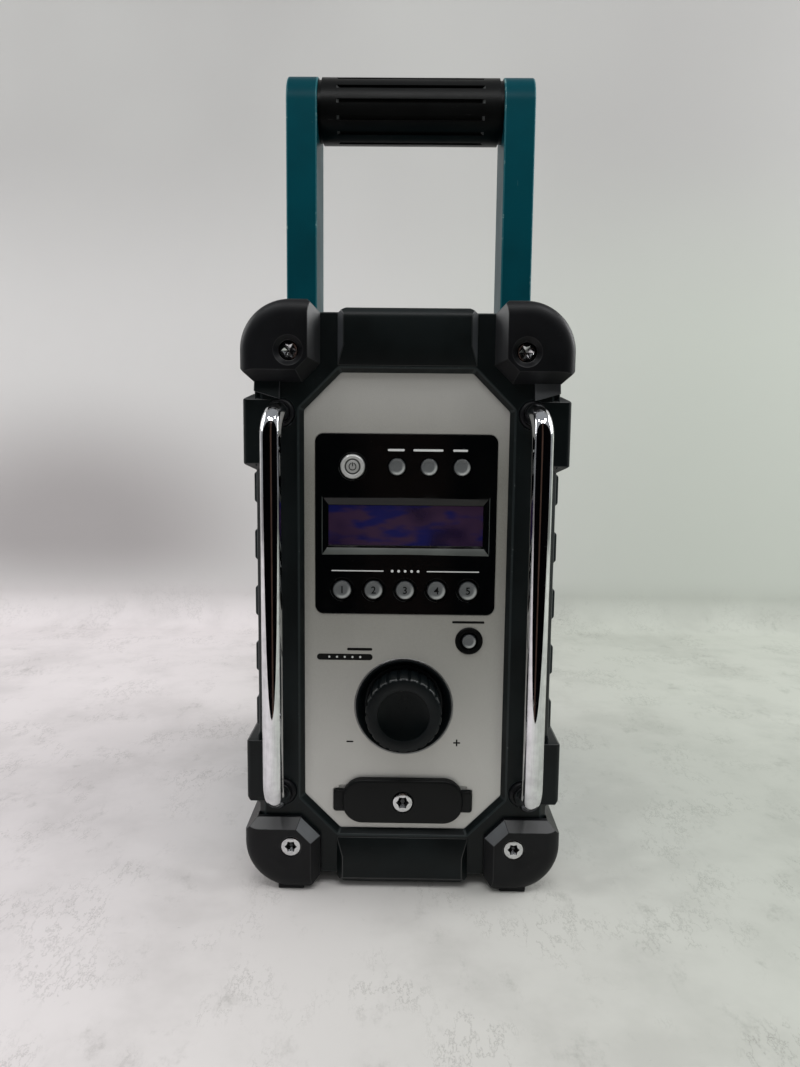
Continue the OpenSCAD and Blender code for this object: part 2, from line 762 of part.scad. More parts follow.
// Walls of the tray, and its back plate with the sleeve of the cover screw
module jack_tray() color(BLACK) {
    side_wall = 3;
    plate_y = tray_back_y - tray_wall;
    difference() {
        opening_block(side_wall, panel_back_y, plate_y - EPS);
        opening_block(0, panel_back_y - 1, plate_y + 1);
    }
    difference() {
        union() {
            opening_block(side_wall, plate_y, tray_back_y);
            rod_y(5, tray_back_y - EPS, tray_back_y + 7, 0, cover_z);
        }
        for (x = [-socket_x, socket_x])
            rod_y(socket_r + 0.05, plate_y - 1, tray_back_y + 1, x, cover_z);
        rod_y(screw_hole_r, plate_y - 1, tray_back_y + 8, 0, cover_z);
    }
}

// Front sleeve and square body of a socket, half the body's size to each side
module socket_body(x, half, depth) {
    rod_y(socket_r, tray_back_y - 3.5, tray_back_y + 1, x, cover_z);
    block([x - half, tray_back_y + EPS, cover_z - half], [x + half, tray_back_y + depth, cover_z + half]);
}

module aux_socket() color(STEEL) difference() {
    socket_body(-socket_x, 6, 13);
    rod_y(jack_r, tray_back_y - 5, tray_back_y + 10.5, -socket_x, cover_z);
}

module dc_socket() color(GLOSS) {
    barrel_r = 3.1;
    pin_r = 1;
    difference() {
        socket_body(socket_x, 6.5, 12);
        rod_y(barrel_r, tray_back_y - 5, tray_back_y + 9, socket_x, cover_z);
        rod_y(pin_r + EPS, tray_back_y + 8, tray_back_y + 13, socket_x, cover_z);
    }
    // centre pin, held in the back wall
    rod_y(pin_r, tray_back_y - 2, tray_back_y + 12, socket_x, cover_z);
}

// ---- Housing, speakers ----

// Half of the housing's outline on the +X side, drawn in by inset
module housing_outline(inset = 0) {
    r = housing_r - inset;
    x = housing_x - inset;
    z0 = housing_bottom + inset;
    shoulder = shoulder_z - inset;
    translate([0, z0]) square([x - r, r + 1]);
    translate([0, z0 + r]) square([x, shoulder - z0 - r]);
    translate([x - r, z0 + r]) circle(r = r);
    translate([0, z0 + r]) square([block_x - inset, block_top - inset - z0 - r]);
}

// Raised rib along the side of the housing
module housing_rib(z) along_y(frame_back_y + 8, rear_back_y - 8)
    polygon([[housing_x - 1, z - 5], [housing_x, z - 5], [housing_x + 1.8, z - 3.4],
        [housing_x + 1.8, z + 3.4], [housing_x, z + 5], [housing_x - 1, z + 5]]);

// Right half shell between the frames, open towards the left half
module housing_half() difference() {
    union() {
        difference() {
            along_y(frame_back_y, rear_back_y) difference() {
                housing_outline();
                housing_outline(housing_wall);
                translate([-housing_x, 0]) square([housing_x, body_h]);
            }
            rod_x(speaker_r, housing_x - 10, housing_x + 1, speaker_y, speaker_z);
        }
        // boss of the handle pivot
        rod_x(11, block_x - 9, arm_inner - GAP, 0, pivot_z);
        for (z = housing_rib_z) housing_rib(z);
    }
    rod_x(bolt_r + 0.02, block_x - 10, arm_inner + 1, 0, pivot_z);
}

// The right half also carries the antenna socket
module right_housing() color(TEAL) difference() {
    housing_half();
    rod_z(5.05, block_top - 10, block_top + 1, antenna_x, antenna_y);
}

module left_housing() color(TEAL) mirror([1, 0, 0]) housing_half();

module grille_disc() turned_x(speaker_y, speaker_z)
    polygon([[0, housing_x + 0.4], [speaker_r - 1, housing_x + 0.4], [speaker_r - 1, housing_x],
        [grille_r, housing_x], [grille_r, housing_x + 1.6], [grille_r - 1.4, housing_x + grille_out],
        [speaker_r + 1.5, housing_x + grille_out], [speaker_r - 1, housing_x + 1.6],
        [0, housing_x + 1.6]]);

// Square surround with a round perforated grille in its middle
module grille() color(BLACK) difference() {
    hole_r = 2.3;
    hole_pitch = 7.4;
    rings = 5;
    frame_half = grille_r + 9;
    corner_hole = frame_half - 9;
    cut = 16;
    union() {
        difference() {
            translate([housing_x, speaker_y, 0]) rotate([90, 0, 90]) linear_extrude(grille_out - 0.8)
                cut_corners(frame_half, speaker_z - frame_half, speaker_z + frame_half, cut);
            rod_x(grille_r - 1, housing_x - 1, housing_x + 4, speaker_y, speaker_z);
        }
        grille_disc();
    }
    // countersunk corner screws of the surround
    for (y = [-corner_hole, corner_hole], z = [-corner_hole, corner_hole])
        rod_x(hole_r, housing_x + 1, housing_x + 4, speaker_y + y, speaker_z + z);
    for (ring = [0:rings], i = [0:max(0, 6 * ring - 1)])
        let (a = ring == 0 ? 0 : i * 60 / ring)
            rod_x(hole_r, housing_x - 1, housing_x + 4, speaker_y + ring * hole_pitch * cos(a),
                speaker_z + ring * hole_pitch * sin(a));
}

module right_grille() grille();
module left_grille() mirror([1, 0, 0]) grille();

module speaker_basket() color(STEEL) {
    rim_x = housing_x - housing_wall;
    magnet_r = 27;
    bore_r = 14;
    magnet_front = rim_x - 22;
    magnet_back = rim_x - 36;
    turned_x(speaker_y, speaker_z)
        polygon([[speaker_r - 3, rim_x - 2], [speaker_r + 4, rim_x - 2], [speaker_r + 4, rim_x],
            [speaker_r - 4, rim_x], [24, magnet_front + 2], [bore_r, magnet_front + 2],
            [bore_r, magnet_front], [magnet_r - 1, magnet_front]]);
    turned_x(speaker_y, speaker_z)
        polygon([[0, magnet_back], [magnet_r, magnet_back], [magnet_r, magnet_front],
            [bore_r, magnet_front], [bore_r, magnet_back + 4], [0, magnet_back + 4]]);
}

module right_speaker_basket() speaker_basket();
module left_speaker_basket() mirror([1, 0, 0]) speaker_basket();

module speaker_cones() color(CONE) mirrored_x() {
    rim_x = housing_x - housing_wall;
    turned_x(speaker_y, speaker_z)
        polygon([[speaker_r - 1.2, rim_x + 0.2], [speaker_r - 4, rim_x + 1.6], [speaker_r - 7, rim_x],
            [12, rim_x - 16], [9, rim_x - 13.4], [0, rim_x - 11.4], [0, rim_x - 12.4],
            [9, rim_x - 14.4], [12, rim_x - 18], [speaker_r - 6.5, rim_x - 1],
            [speaker_r - 4, rim_x + 0.6], [speaker_r - 1.2, rim_x + 0.1]]);
}

// ---- Inside ----

module battery_bay() color(BLACK) {
    rim = 3;
    difference() {
        block([-bay_x, bay_front_y, bay_bottom], [bay_x, rear_face_y, bay_top]);
        block([-bay_x + bay_wall, bay_front_y + bay_wall, bay_bottom + bay_wall],
            [bay_x - bay_wall, rear_face_y + 1, bay_top - bay_wall]);
    }
    // rim behind the wall of the rear frame
    difference() {
        block([-bay_x - rim, rear_face_y - frame_wall - rim, bay_bottom - rim],
            [bay_x + rim, rear_face_y - frame_wall, bay_top + rim]);
        block([-bay_x + 1, bay_front_y, bay_bottom + 1], [bay_x - 1, rear_face_y, bay_top - 1]);
    }
}

module battery_terminals() color(BRASS) {
    back = bay_front_y + bay_wall;
    for (x = [-9, 9]) {
        block([x - 3, back, 140], [x + 3, back + 1, 160]);
        block([x - 0.5, back, 142], [x + 0.5, back + 5, 158]);
    }
}

module main_board() color(BOARD) {
    board_front_y = bay_front_y - 10;
    board_back_y = board_front_y + board_t;
    part_y = board_front_y + EPS;
    spacer_x = [-38, 38];
    spacer_z = [75, 220];
    difference() {
        union() {
            block([-46, board_front_y, 62], [46, board_back_y, 230]);
            // spacers to the battery bay
            for (x = spacer_x, z = spacer_z) rod_y(3, board_back_y - EPS, bay_front_y, x, z);
        }
        for (x = spacer_x, z = spacer_z) rod_y(1.5, board_front_y - 1, bay_front_y - 2, x, z);
    }
    // amplifier heat sink with its fins, then the transformer and four capacitors
    block([-30, board_front_y - 4, 180], [2, part_y, 210]);
    for (x = [-30:6:0]) block([x, board_front_y - 16, 180], [x + 2, part_y, 210]);
    block([-22, board_front_y - 22, 90], [14, part_y, 130]);
    for (x = [22, 36], z = [100, 118]) rod_y(5.5, board_front_y - 14, part_y, x, z);
}

module antenna_socket() color(STEEL) difference() {
    union() {
        translate([antenna_x, antenna_y, block_top]) cylinder(r = 8, h = 3, $fn = 6);
        rod_z(5, block_top - 6, block_top + 6, antenna_x, antenna_y);
    }
    rod_z(antenna_r, block_top - 4, block_top + 7, antenna_x, antenna_y);
}

// ---- Battery door ----

module battery_door() color(BLACK) difference() {
    union() {
        block([-door_x, door_y, door_bottom], [door_x, door_y + door_t - 1.5, door_top]);
        along_y(door_y, door_y + door_t) cut_corners(door_x - 5, door_bottom + 5, door_top - 5, 12);
        // hinge barrel with stub pins, and the web to the door
        rod_x(hinge_r, -lug_inner + GAP, lug_inner - GAP, hinge_y, hinge_z);
        rod_x(hinge_pin_r, -lug_outer, lug_outer, hinge_y, hinge_z);
        block([-lug_inner + GAP, door_y + 0.2, hinge_z],
            [lug_inner - GAP, door_y + 3.4, door_bottom + 1]);
        // finger rails
        for (z = [90, 100, 110])
            along_y(door_y, door_y + door_t + 1.4) rounded(26, z - 2, z + 2, 1.9);
    }
    // slot of the latch, and room for the neck of its thumb piece
    block([-latch_x - GAP, latch_slot_y, latch_z - 2],
        [latch_x + GAP, latch_slot_y + latch_slot_t, door_top + 1]);
    block([-neck_x - GAP, latch_slot_y, latch_z - 0.5],
        [neck_x + GAP, door_y + door_t + 1, latch_z + neck_h + latch_travel + 0.5]);
}

module door_latch() color(RUBBER) {
    thumb_y = door_y + door_t + 0.2;
    block([-latch_x, latch_slot_y + 0.2, latch_z],
        [latch_x, latch_slot_y + latch_slot_t - 0.2, door_top - 0.5]);
    block([-neck_x, latch_slot_y + 1, latch_z], [neck_x, thumb_y + 0.3, latch_z + neck_h]);
    block([-11, thumb_y, latch_z - 9], [11, thumb_y + 1.4, latch_z + neck_h]);
    for (z = [0.5, -3, -6.5])
        block([-9, thumb_y + 0.8, latch_z + z], [9, thumb_y + 2.2, latch_z + z + 1.4]);
}

// ---- Handle ----

module arm_outline() {
    translate([0, pivot_z]) circle(r = arm_r);
    translate([0, grip_z]) circle(r = arm_r);
    translate([-arm_r, pivot_z]) square([arm_d, grip_z - pivot_z]);
}

module handle_arm() color(TEAL) difference() {
    translate([arm_inner, 0, 0]) rotate([90, 0, 90]) linear_extrude(arm_w) arm_outline();
    rod_x(bolt_r + FIT, arm_inner - 1, arm_inner + arm_w + 1, 0, pivot_z);
    rod_x(tube_r + 0.05, arm_inner - 1, arm_inner + tube_seat, 0, grip_z);
}

module handle_arm_right() handle_arm();
module handle_arm_left() mirror([1, 0, 0]) handle_arm();

module handle_grip() color(RUBBER) difference() {
    collar = 2.2;
    slots = 12;
    slot_x = 44;
    slot_half_w = 1.2;
    slot_depth = 1.6;
    union() {
        rod_x(grip_r, -arm_inner + collar, arm_inner - collar, 0, grip_z);
        rod_x(grip_r - 1.4, -arm_inner + 0.05, arm_inner - 0.05, 0, grip_z);
        rod_x(tube_r, -arm_inner - tube_seat + 0.5, arm_inner + tube_seat - 0.5, 0, grip_z);
    }
    for (i = [0:slots - 1])
        translate([0, 0, grip_z]) rotate([i * 360 / slots, 0, 0])
            block([-slot_x, -slot_half_w, grip_r - slot_depth], [slot_x, slot_half_w, grip_r + 1]);
}

module handle_pivot_bolts() color(STEEL) mirrored_x() {
    outer = arm_inner + arm_w;
    rod_x(bolt_r, block_x - 8, outer + 1, 0, pivot_z);
    turned_x(0, pivot_z) polygon([[0, outer + GAP], [bolt_head_r, outer + GAP],
        [bolt_head_r, outer + 2], [bolt_head_r - 1.5, outer + 3.2], [0, outer + 3.2]]);
}

front_frame();
front_bumper_upper_left();
front_bumper_upper_right();
front_bumper_lower_left();
front_bumper_lower_right();
rear_frame();
rear_bumper_upper_left();
rear_bumper_upper_right();
rear_bumper_lower_left();
rear_bumper_lower_right();
bumper_screws();
left_roll_bar();
right_roll_bar();
roll_bar_grommets();
control_panel();
display_panel();
lcd_window();
lcd_module();
tune_button_ring();
knob_dish();
encoder_body();
jack_tray();
jack_cover_hub();
jack_cover_screw();
aux_socket();
dc_socket();
button_board();
left_housing();
right_housing();
left_grille();
right_grille();
left_speaker_basket();
right_speaker_basket();
speaker_cones();
battery_bay();
battery_terminals();
main_board();
antenna_socket();
rubber_feet();
handle_pivot_bolts();
power_button();
band_button();
menu_button();
info_button();
preset_button_1();
preset_button_2();
preset_button_3();
preset_button_4();
preset_button_5();
tune_button();
volume_knob();
encoder_shaft();
encoder_plunger();
jack_flap_left();
jack_flap_right();
battery_door();
door_latch();
handle_arm_left();
handle_arm_right();
handle_grip();
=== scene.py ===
"""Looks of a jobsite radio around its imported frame: modelled shells, controls and handle, and every finish.

Sizes are millimetres in the frame's own axes: +X to the right seen from the front, +Y to the back, +Z up.
A piece is modelled in millimetres and becomes metres when it is mounted on its body.
"""

import json
import logging
import math
from abc import ABC, abstractmethod
from collections.abc import Callable, Iterable, Sequence
from dataclasses import dataclass
from enum import Enum
from typing import Self

import bmesh
import bpy
from mathutils import Matrix, Vector

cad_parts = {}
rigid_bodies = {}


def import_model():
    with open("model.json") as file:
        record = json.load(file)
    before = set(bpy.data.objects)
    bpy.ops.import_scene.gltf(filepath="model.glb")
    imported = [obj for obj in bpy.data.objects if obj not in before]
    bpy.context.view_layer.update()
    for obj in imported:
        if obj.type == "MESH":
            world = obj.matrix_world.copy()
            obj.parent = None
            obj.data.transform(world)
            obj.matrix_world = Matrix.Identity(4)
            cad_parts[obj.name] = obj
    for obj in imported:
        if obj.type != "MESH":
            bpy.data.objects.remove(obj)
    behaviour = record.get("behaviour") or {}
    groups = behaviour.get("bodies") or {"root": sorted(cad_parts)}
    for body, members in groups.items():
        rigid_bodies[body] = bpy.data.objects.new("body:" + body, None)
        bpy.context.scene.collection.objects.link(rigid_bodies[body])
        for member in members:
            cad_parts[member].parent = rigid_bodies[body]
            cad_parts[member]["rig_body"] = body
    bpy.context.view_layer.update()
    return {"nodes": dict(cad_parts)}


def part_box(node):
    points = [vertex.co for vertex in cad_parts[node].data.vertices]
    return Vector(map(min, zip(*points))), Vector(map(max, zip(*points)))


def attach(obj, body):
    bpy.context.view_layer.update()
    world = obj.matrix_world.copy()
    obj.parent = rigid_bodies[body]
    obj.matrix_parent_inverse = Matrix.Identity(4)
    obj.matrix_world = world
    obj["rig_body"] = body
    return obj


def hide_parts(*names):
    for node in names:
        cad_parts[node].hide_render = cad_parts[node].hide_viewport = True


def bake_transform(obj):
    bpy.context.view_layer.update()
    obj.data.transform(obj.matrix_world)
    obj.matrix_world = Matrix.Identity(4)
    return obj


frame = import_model()

LOG = logging.getLogger("radio")
MM = 0.001
NEAR = 0.02
FLAT_ANGLE = math.radians(0.6)
SHARP_ANGLE = math.radians(30.0)
WELD_TOLERANCE = 0.002
CUT_TOLERANCE = 0.0001
PRINT_DEPTH = 0.05

Colour = tuple[float, float, float]
Place = tuple[float, float, float]
Pair = tuple[float, float]
Cut = tuple[str, float]
Profile = Sequence[Pair]
EdgeTest = Callable[[Vector, Vector], bool]

FORWARDS: Place = (0.0, -1.0, 0.0)


def rgb(code: str) -> Colour:
    """Turns a colour written as six hex digits into linear light.

    Args:
        code: The colour as on a screen, such as "1f5a38".

    Returns:
        Red, green and blue from 0 to 1.
    """
    parts = [int(code[i:i + 2], 16) / 255 for i in (0, 2, 4)]
    return tuple(c / 12.92 if c <= 0.04045 else ((c + 0.055) / 1.055) ** 2.4 for c in parts)


def shade(colour: Colour, factor: float) -> Colour:
    """Returns a colour with its light multiplied by a factor."""
    return tuple(c * factor for c in colour)


def only(obj: bpy.types.Object) -> None:
    """Makes an object the only selected one, and the active one.

    Args:
        obj: The object.
    """
    bpy.ops.object.select_all(action="DESELECT")
    obj.select_set(True)
    bpy.context.view_layer.objects.active = obj


def linked(name: str, data: bpy.types.ID) -> bpy.types.Object:
    """Makes an object and puts it in the scene.

    Args:
        name: The object's name.
        data: Its mesh, lamp or camera.

    Returns:
        The object.
    """
    obj = bpy.data.objects.new(name, data)
    bpy.context.scene.collection.objects.link(obj)
    return obj


def extent(node: str) -> tuple[Vector, Vector]:
    """Returns the lowest and the highest corner of a frame node in millimetres."""
    low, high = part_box(node)
    return low / MM, high / MM


# ---- Shader graphs ----


class Socket:
    """A value inside a material. Arithmetic on it adds Math nodes."""

    def __init__(self, graph: "Graph", output: bpy.types.NodeSocket) -> None:
        """Keeps the graph and the node output that holds the value."""
        self.graph = graph
        self.output = output

    def math(self, operation: str, first: "Socket | float", second: "Socket | float") -> "Socket":
        """Adds one Math node and returns its result."""
        return self.graph.node("ShaderNodeMath", {"operation": operation}, {0: first, 1: second})

    def __add__(self, other: "Socket | float") -> "Socket":
        """Returns the sum."""
        return self.math("ADD", self, other)

    def __radd__(self, other: float) -> "Socket":
        """Returns the sum, number first."""
        return self.math("ADD", other, self)

    def __sub__(self, other: "Socket | float") -> "Socket":
        """Returns the difference."""
        return self.math("SUBTRACT", self, other)

    def __rsub__(self, other: float) -> "Socket":
        """Returns the difference, number first."""
        return self.math("SUBTRACT", other, self)

    def __mul__(self, other: "Socket | float") -> "Socket":
        """Returns the product."""
        return self.math("MULTIPLY", self, other)

    def __rmul__(self, other: float) -> "Socket":
        """Returns the product, number first."""
        return self.math("MULTIPLY", other, self)

    def __or__(self, other: "Socket | float") -> "Socket":
        """Returns the larger of the two, which joins two masks."""
        return self.math("MAXIMUM", self, other)

    def step(self, low: float, high: float) -> "Socket":
        """Makes a mask with a smooth rise.

        Args:
            low: The value at which the mask leaves 0.
            high: The value at which it reaches 1. Where it is below low, the mask falls instead.

        Returns:
            The mask.
        """
        if low > high:
            return 1 - self.step(high, low)
        settings = {"interpolation_type": "SMOOTHSTEP"}
        return self.graph.node("ShaderNodeMapRange", settings, {0: self, 1: low, 2: high, 3: 0.0, 4: 1.0})

    def wave(self, period: float) -> "Socket":
        """Returns a ripple from 0 to 1 with this period."""
        return 0.5 + 0.5 * self.math("SINE", self * (math.tau / period), 0.0)

    def length(self) -> "Socket":
        """Returns the length of a place."""
        return self.graph.node("ShaderNodeVectorMath", {"operation": "LENGTH"}, {0: self}, "Value")

    def part(self, axis: str) -> "Socket":
        """Returns the X, Y or Z of a place."""
        return self.graph.node("ShaderNodeSeparateXYZ", {}, {0: self}, axis)


class Graph:
    """Node tree of one material or of the world."""

    def __init__(self, tree: bpy.types.NodeTree) -> None:
        """Starts with an empty tree."""
        self.tree = tree
        self.tree.nodes.clear()

    def node(self, kind: str, settings: dict, inputs: dict, output: int | str = 0) -> Socket:
        """Adds a node.

        Args:
            kind: Its type.
            settings: Its properties, set first.
            inputs: A value or a Socket for each input, by name or number.
            output: The output that is returned.

        Returns:
            The chosen output.
        """
        added = self.tree.nodes.new(kind)
        for name, value in settings.items():
            setattr(added, name, value)
        for key, value in inputs.items():
            if isinstance(value, Socket):
                self.tree.links.new(value.output, added.inputs[key])
            elif isinstance(value, tuple) and len(value) == 3 and added.inputs[key].type == "RGBA":
                added.inputs[key].default_value = (*value, 1.0)
            else:
                added.inputs[key].default_value = value
        return Socket(self, added.outputs[output])

    def place(self, stretch: Place = (1.0, 1.0, 1.0), centre: Place = (0.0, 0.0, 0.0)) -> Socket:
        """Finds the place on the object.

        Args:
            stretch: How much the place is stretched along each axis.
            centre: The point that it is counted from.

        Returns:
            The place in millimetres.
        """
        spot = self.node("ShaderNodeTexCoord", {}, {}, "Object")
        scale = tuple(s / MM for s in stretch)
        shift = tuple(-c * s for c, s in zip(centre, stretch))
        return self.node("ShaderNodeMapping", {}, {"Vector": spot, "Location": shift, "Scale": scale})

    def noise(self, size: float, detail: float = 2.0, spot: Socket | None = None, soft: float = 0.5) -> Socket:
        """Makes cloudy noise.

        Args:
            size: Width of its patches in millimetres.
            detail: How many finer layers it has.
            spot: The place that it depends on, if not the plain one.
            soft: How strong the finer layers are.

        Returns:
            The noise, from 0 to 1.
        """
        inputs = {"Vector": spot or self.place(), "Scale": 1 / size, "Detail": detail, "Roughness": soft}
        return self.node("ShaderNodeTexNoise", {}, inputs)

    def specks(self, pitch: float, radius: float) -> Socket:
        """Makes round specks.

        Args:
            pitch: Width in millimetres of the cells that hold one speck each.
            radius: Radius of a speck in millimetres.

        Returns:
            Their mask.
        """
        inputs = {"Vector": self.place(), "Scale": 1 / pitch, "Randomness": 1.0}
        reach = self.node("ShaderNodeTexVoronoi", {"feature": "F1"}, inputs)
        return reach.step(radius / pitch, 0.3 * radius / pitch)

    def blend(self, mask: Socket | float, low: Socket | Colour, high: Socket | Colour) -> Socket:
        """Returns one colour where the mask is 0 and the other where it is 1."""
        return self.node("ShaderNodeMix", {"data_type": "RGBA"}, {0: mask, 6: low, 7: high}, 2)

    def relief(self, height: Socket, depth: float) -> Socket:
        """Returns the normal of a surface that rises depth millimetres where height is 1."""
        return self.node("ShaderNodeBump", {}, {"Strength": 1.0, "Distance": depth * MM, "Height": height})

    def surface(self, **inputs: Socket | float | Colour) -> None:
        """Wires a Principled surface.

        Args:
            **inputs: Its inputs; an underscore in a name stands for a space.
        """
        named = {key.replace("_", " "): value for key, value in inputs.items()}
        shader = self.node("ShaderNodeBsdfPrincipled", {}, named)
        self.node_output("ShaderNodeOutputMaterial", shader)

    def node_output(self, kind: str, shader: Socket) -> None:
        """Wires a shader to the output node."""
        added = self.tree.nodes.new(kind)
        self.tree.links.new(shader.output, added.inputs["Surface"])


# ---- Finishes ----


@dataclass(frozen=True)
class Finish(ABC):
    """A finish: its name, the record slot it stands for, and how its shader is wired."""

    name: str
    slot: str

    @abstractmethod
    def wire(self, graph: Graph) -> None:
        """Wires the shader into an empty graph.

        Args:
            graph: The graph.
        """

    def material(self) -> bpy.types.Material:
        """Makes the finish's material, once.

        Returns:
            The material.
        """
        title = f"{self.name}_finish"
        known = bpy.data.materials.get(title)
        if known:
            return known
        made = bpy.data.materials.new(title)
        made.use_nodes = True
        self.wire(Graph(made.node_tree))
        return made


@dataclass(frozen=True)
class Moulding(Finish):
    """Moulded plastic or rubber with soft mottling, a fine grain, dust and faint scuffs.

    Attributes:
        colour: The body colour.
        roughness: The mean roughness.
        mottle: How far soft patches change the shade, as a share.
        grain: Width of the grain in millimetres.
        depth: Height of the grain in millimetres.
        dust: Strength of pale dust and scuffs.
        dust_colour: The colour of dust and scuffs.
        gloss: How strongly the surface mirrors.
    """

    colour: Colour
    roughness: float = 0.5
    mottle: float = 0.25
    grain: float = 0.35
    depth: float = 0.02
    dust: float = 0.3
    dust_colour: Colour = rgb("8d8f8c")
    gloss: float = 0.24

    def wire(self, graph: Graph) -> None:
        """Wires mottled colour, uneven roughness and a grained normal.

        Args:
            graph: The graph.
        """
        cloud = graph.noise(26, 4)
        fine = graph.noise(self.grain, 2)
        darker = shade(self.colour, 1 - self.mottle)
        lighter = shade(self.colour, 1 + self.mottle)
        body = graph.blend(cloud.step(0.3, 0.7), darker, lighter)
        specks = graph.specks(2.6, 0.22) * graph.noise(14, 3).step(0.5, 0.66)
        streaks = graph.noise(0.9, 3, graph.place((0.12, 1.0, 1.0))).step(0.66, 0.78)
        scuffs = streaks * graph.noise(18, 3).step(0.52, 0.68) * 0.5
        dusty = graph.blend((specks | scuffs) * self.dust, body, self.dust_colour)
        rough = self.roughness + (cloud - 0.5) * 0.18 + (fine - 0.5) * 0.12
        graph.surface(Base_Color=dusty, Roughness=rough, Specular_IOR_Level=self.gloss,
                      Normal=graph.relief(fine, self.depth))


@dataclass(frozen=True)
class WornEdge(Finish):
    """The same plastic or paint where an edge is rubbed, with paler chips; on the frame, the lighter edge colour is
    also a painted highlight.

    Attributes:
        colour: The body colour.
        bare: The colour of the chips.
        share: How much of the edge is chipped.
        roughness: The mean roughness.
    """

    colour: Colour
    bare: Colour
    share: float = 0.5
    roughness: float = 0.4

    def wire(self, graph: Graph) -> None:
        """Wires chips of the bare colour whose share is set by the threshold of a noise.

        Args:
            graph: The graph.
        """
        chips = graph.noise(2.4, 4, soft=0.65)
        run = graph.noise(24, 2)
        level = 1 - self.share
        mask = (chips + (run - 0.5) * 0.5).step(level - 0.1, level + 0.06)
        rough = self.roughness + (chips - 0.5) * 0.3
        graph.surface(Base_Color=graph.blend(mask, self.colour, self.bare), Roughness=rough,
                      Specular_IOR_Level=0.3, Normal=graph.relief(chips, 0.02))


@dataclass(frozen=True)
class Lacquer(Finish):
    """Silver lacquer: metal flakes in a satin coat, with a painted reflection along Z: pale low down, deeper in tone
    higher up and paler again near the top.

    Attributes:
        low_colour: The colour at low_z and below.
        high_colour: The colour at high_z.
        low_z: Where the tone starts to change.
        high_z: Where it is deepest.
        fade_start: How far above high_z the tone starts to grow pale again.
        fade_end: How far above high_z it is palest.
        flake: The colour of the flakes.
        soil: The colour of handling marks.
    """

    low_colour: Colour
    high_colour: Colour
    low_z: float
    high_z: float
    fade_start: float = 20.0
    fade_end: float = 70.0
    flake: Colour = rgb("e9e8e4")
    soil: Colour = rgb("4c4c48")

    def wire(self, graph: Graph) -> None:
        """Wires flakes, a slow fade along Z that paints a reflection, and small handling marks.

        Args:
            graph: The graph.
        """
        # Painted reflection: pale low down, deeper higher up, paler again near the top.
        height = graph.place().part("Z")
        paler = height.step(self.high_z + self.fade_start, self.high_z + self.fade_end)
        fade = height.step(self.low_z, self.high_z) * (1 - 0.75 * paler)
        tone = graph.blend(fade, self.low_colour, self.high_colour)
        flakes = graph.noise(0.22, 1)
        sparkle = graph.blend(flakes.step(0.35, 0.75) * 0.22, tone, self.flake)
        strokes = graph.noise(0.7, 3, graph.place((1.0, 1.0, 0.1))).step(0.7, 0.8)
        marks = strokes * graph.noise(20, 2).step(0.5, 0.65)
        darkened = graph.blend(marks * 0.25, sparkle, self.soil)
        rough = 0.42 + (graph.noise(9, 3) - 0.5) * 0.12 + marks * 0.1
        graph.surface(Base_Color=darkened, Metallic=0.35, Roughness=rough,
                      Normal=graph.relief(flakes, 0.004))


@dataclass(frozen=True)
class Gloss(Finish):
    """Polished plastic with a coat, fingerprints and a little dust.

    Attributes:
        colour: The body colour.
        roughness: The roughness where it is clean.
        smear: How much rougher a smeared patch is.
        dust: Strength of the dust.
        dust_colour: The colour of the dust.
    """

    colour: Colour
    roughness: float = 0.08
    smear: float = 0.12
    dust: float = 0.2
    dust_colour: Colour = rgb("8b8d90")

    def wire(self, graph: Graph) -> None:
        """Wires a dark body whose gloss changes with smears.

        Args:
            graph: The graph.
        """
        smears = graph.noise(11, 4, graph.place((1.0, 1.0, 0.45))).step(0.48, 0.7)
        specks = graph.specks(3.4, 0.16) * graph.noise(9, 2).step(0.45, 0.6)
        body = graph.blend(specks * self.dust, self.colour, self.dust_colour)
        rough = self.roughness + smears * self.smear + specks * 0.3
        graph.surface(Base_Color=body, Roughness=rough, Specular_IOR_Level=0.4,
                      Normal=graph.relief(graph.noise(6, 2), 0.004))


@dataclass(frozen=True)
class DisplayGlass(Finish):
    """Liquid crystal window: deep violet with soft navy shapes under a polished face."""

    violet: Colour
    navy: Colour
    dark: Colour

    def wire(self, graph: Graph) -> None:
        """Wires cloudy shapes that are drawn out sideways.

        Args:
            graph: The graph.
        """
        shapes = graph.noise(7, 2, graph.place((0.35, 1.0, 1.0)))
        bands = graph.noise(15, 1, graph.place((0.6, 1.0, 0.9)))
        body = graph.blend(shapes.step(0.45, 0.62), self.violet, self.navy)
        shaded = graph.blend(bands.step(0.5, 0.8), body, self.dark)
        graph.surface(Base_Color=shaded, Roughness=0.07 + shapes.step(0.5, 0.7) * 0.05, Coat_Weight=0.4,
                      Coat_Roughness=0.03, Normal=graph.relief(bands, 0.01))


@dataclass(frozen=True)
class Metal(Finish):
    """Bare or plated metal.

    Attributes:
        colour: The metal's colour.
        roughness: The roughness where it is clean.
        smear: How much rougher a smeared patch is.
        spangle: Width of its crystals or brush marks in millimetres.
        depth: Height of those marks in millimetres.
    """

    colour: Colour
    roughness: float = 0.3
    smear: float = 0.1
    spangle: float = 3.0
    depth: float = 0.0

    def wire(self, graph: Graph) -> None:
        """Wires smears, tarnish and a spangled normal.

        Args:
            graph: The graph.
        """
        smears = graph.noise(7, 4).step(0.5, 0.72)
        spangle = graph.noise(self.spangle, 2)
        darker = shade(self.colour, 0.72)
        tone = graph.blend(spangle.step(0.35, 0.7) * 0.5 + smears * 0.3, self.colour, darker)
        graph.surface(Base_Color=tone, Metallic=1.0, Roughness=self.roughness + smears * self.smear,
                      Normal=graph.relief(spangle, self.depth))


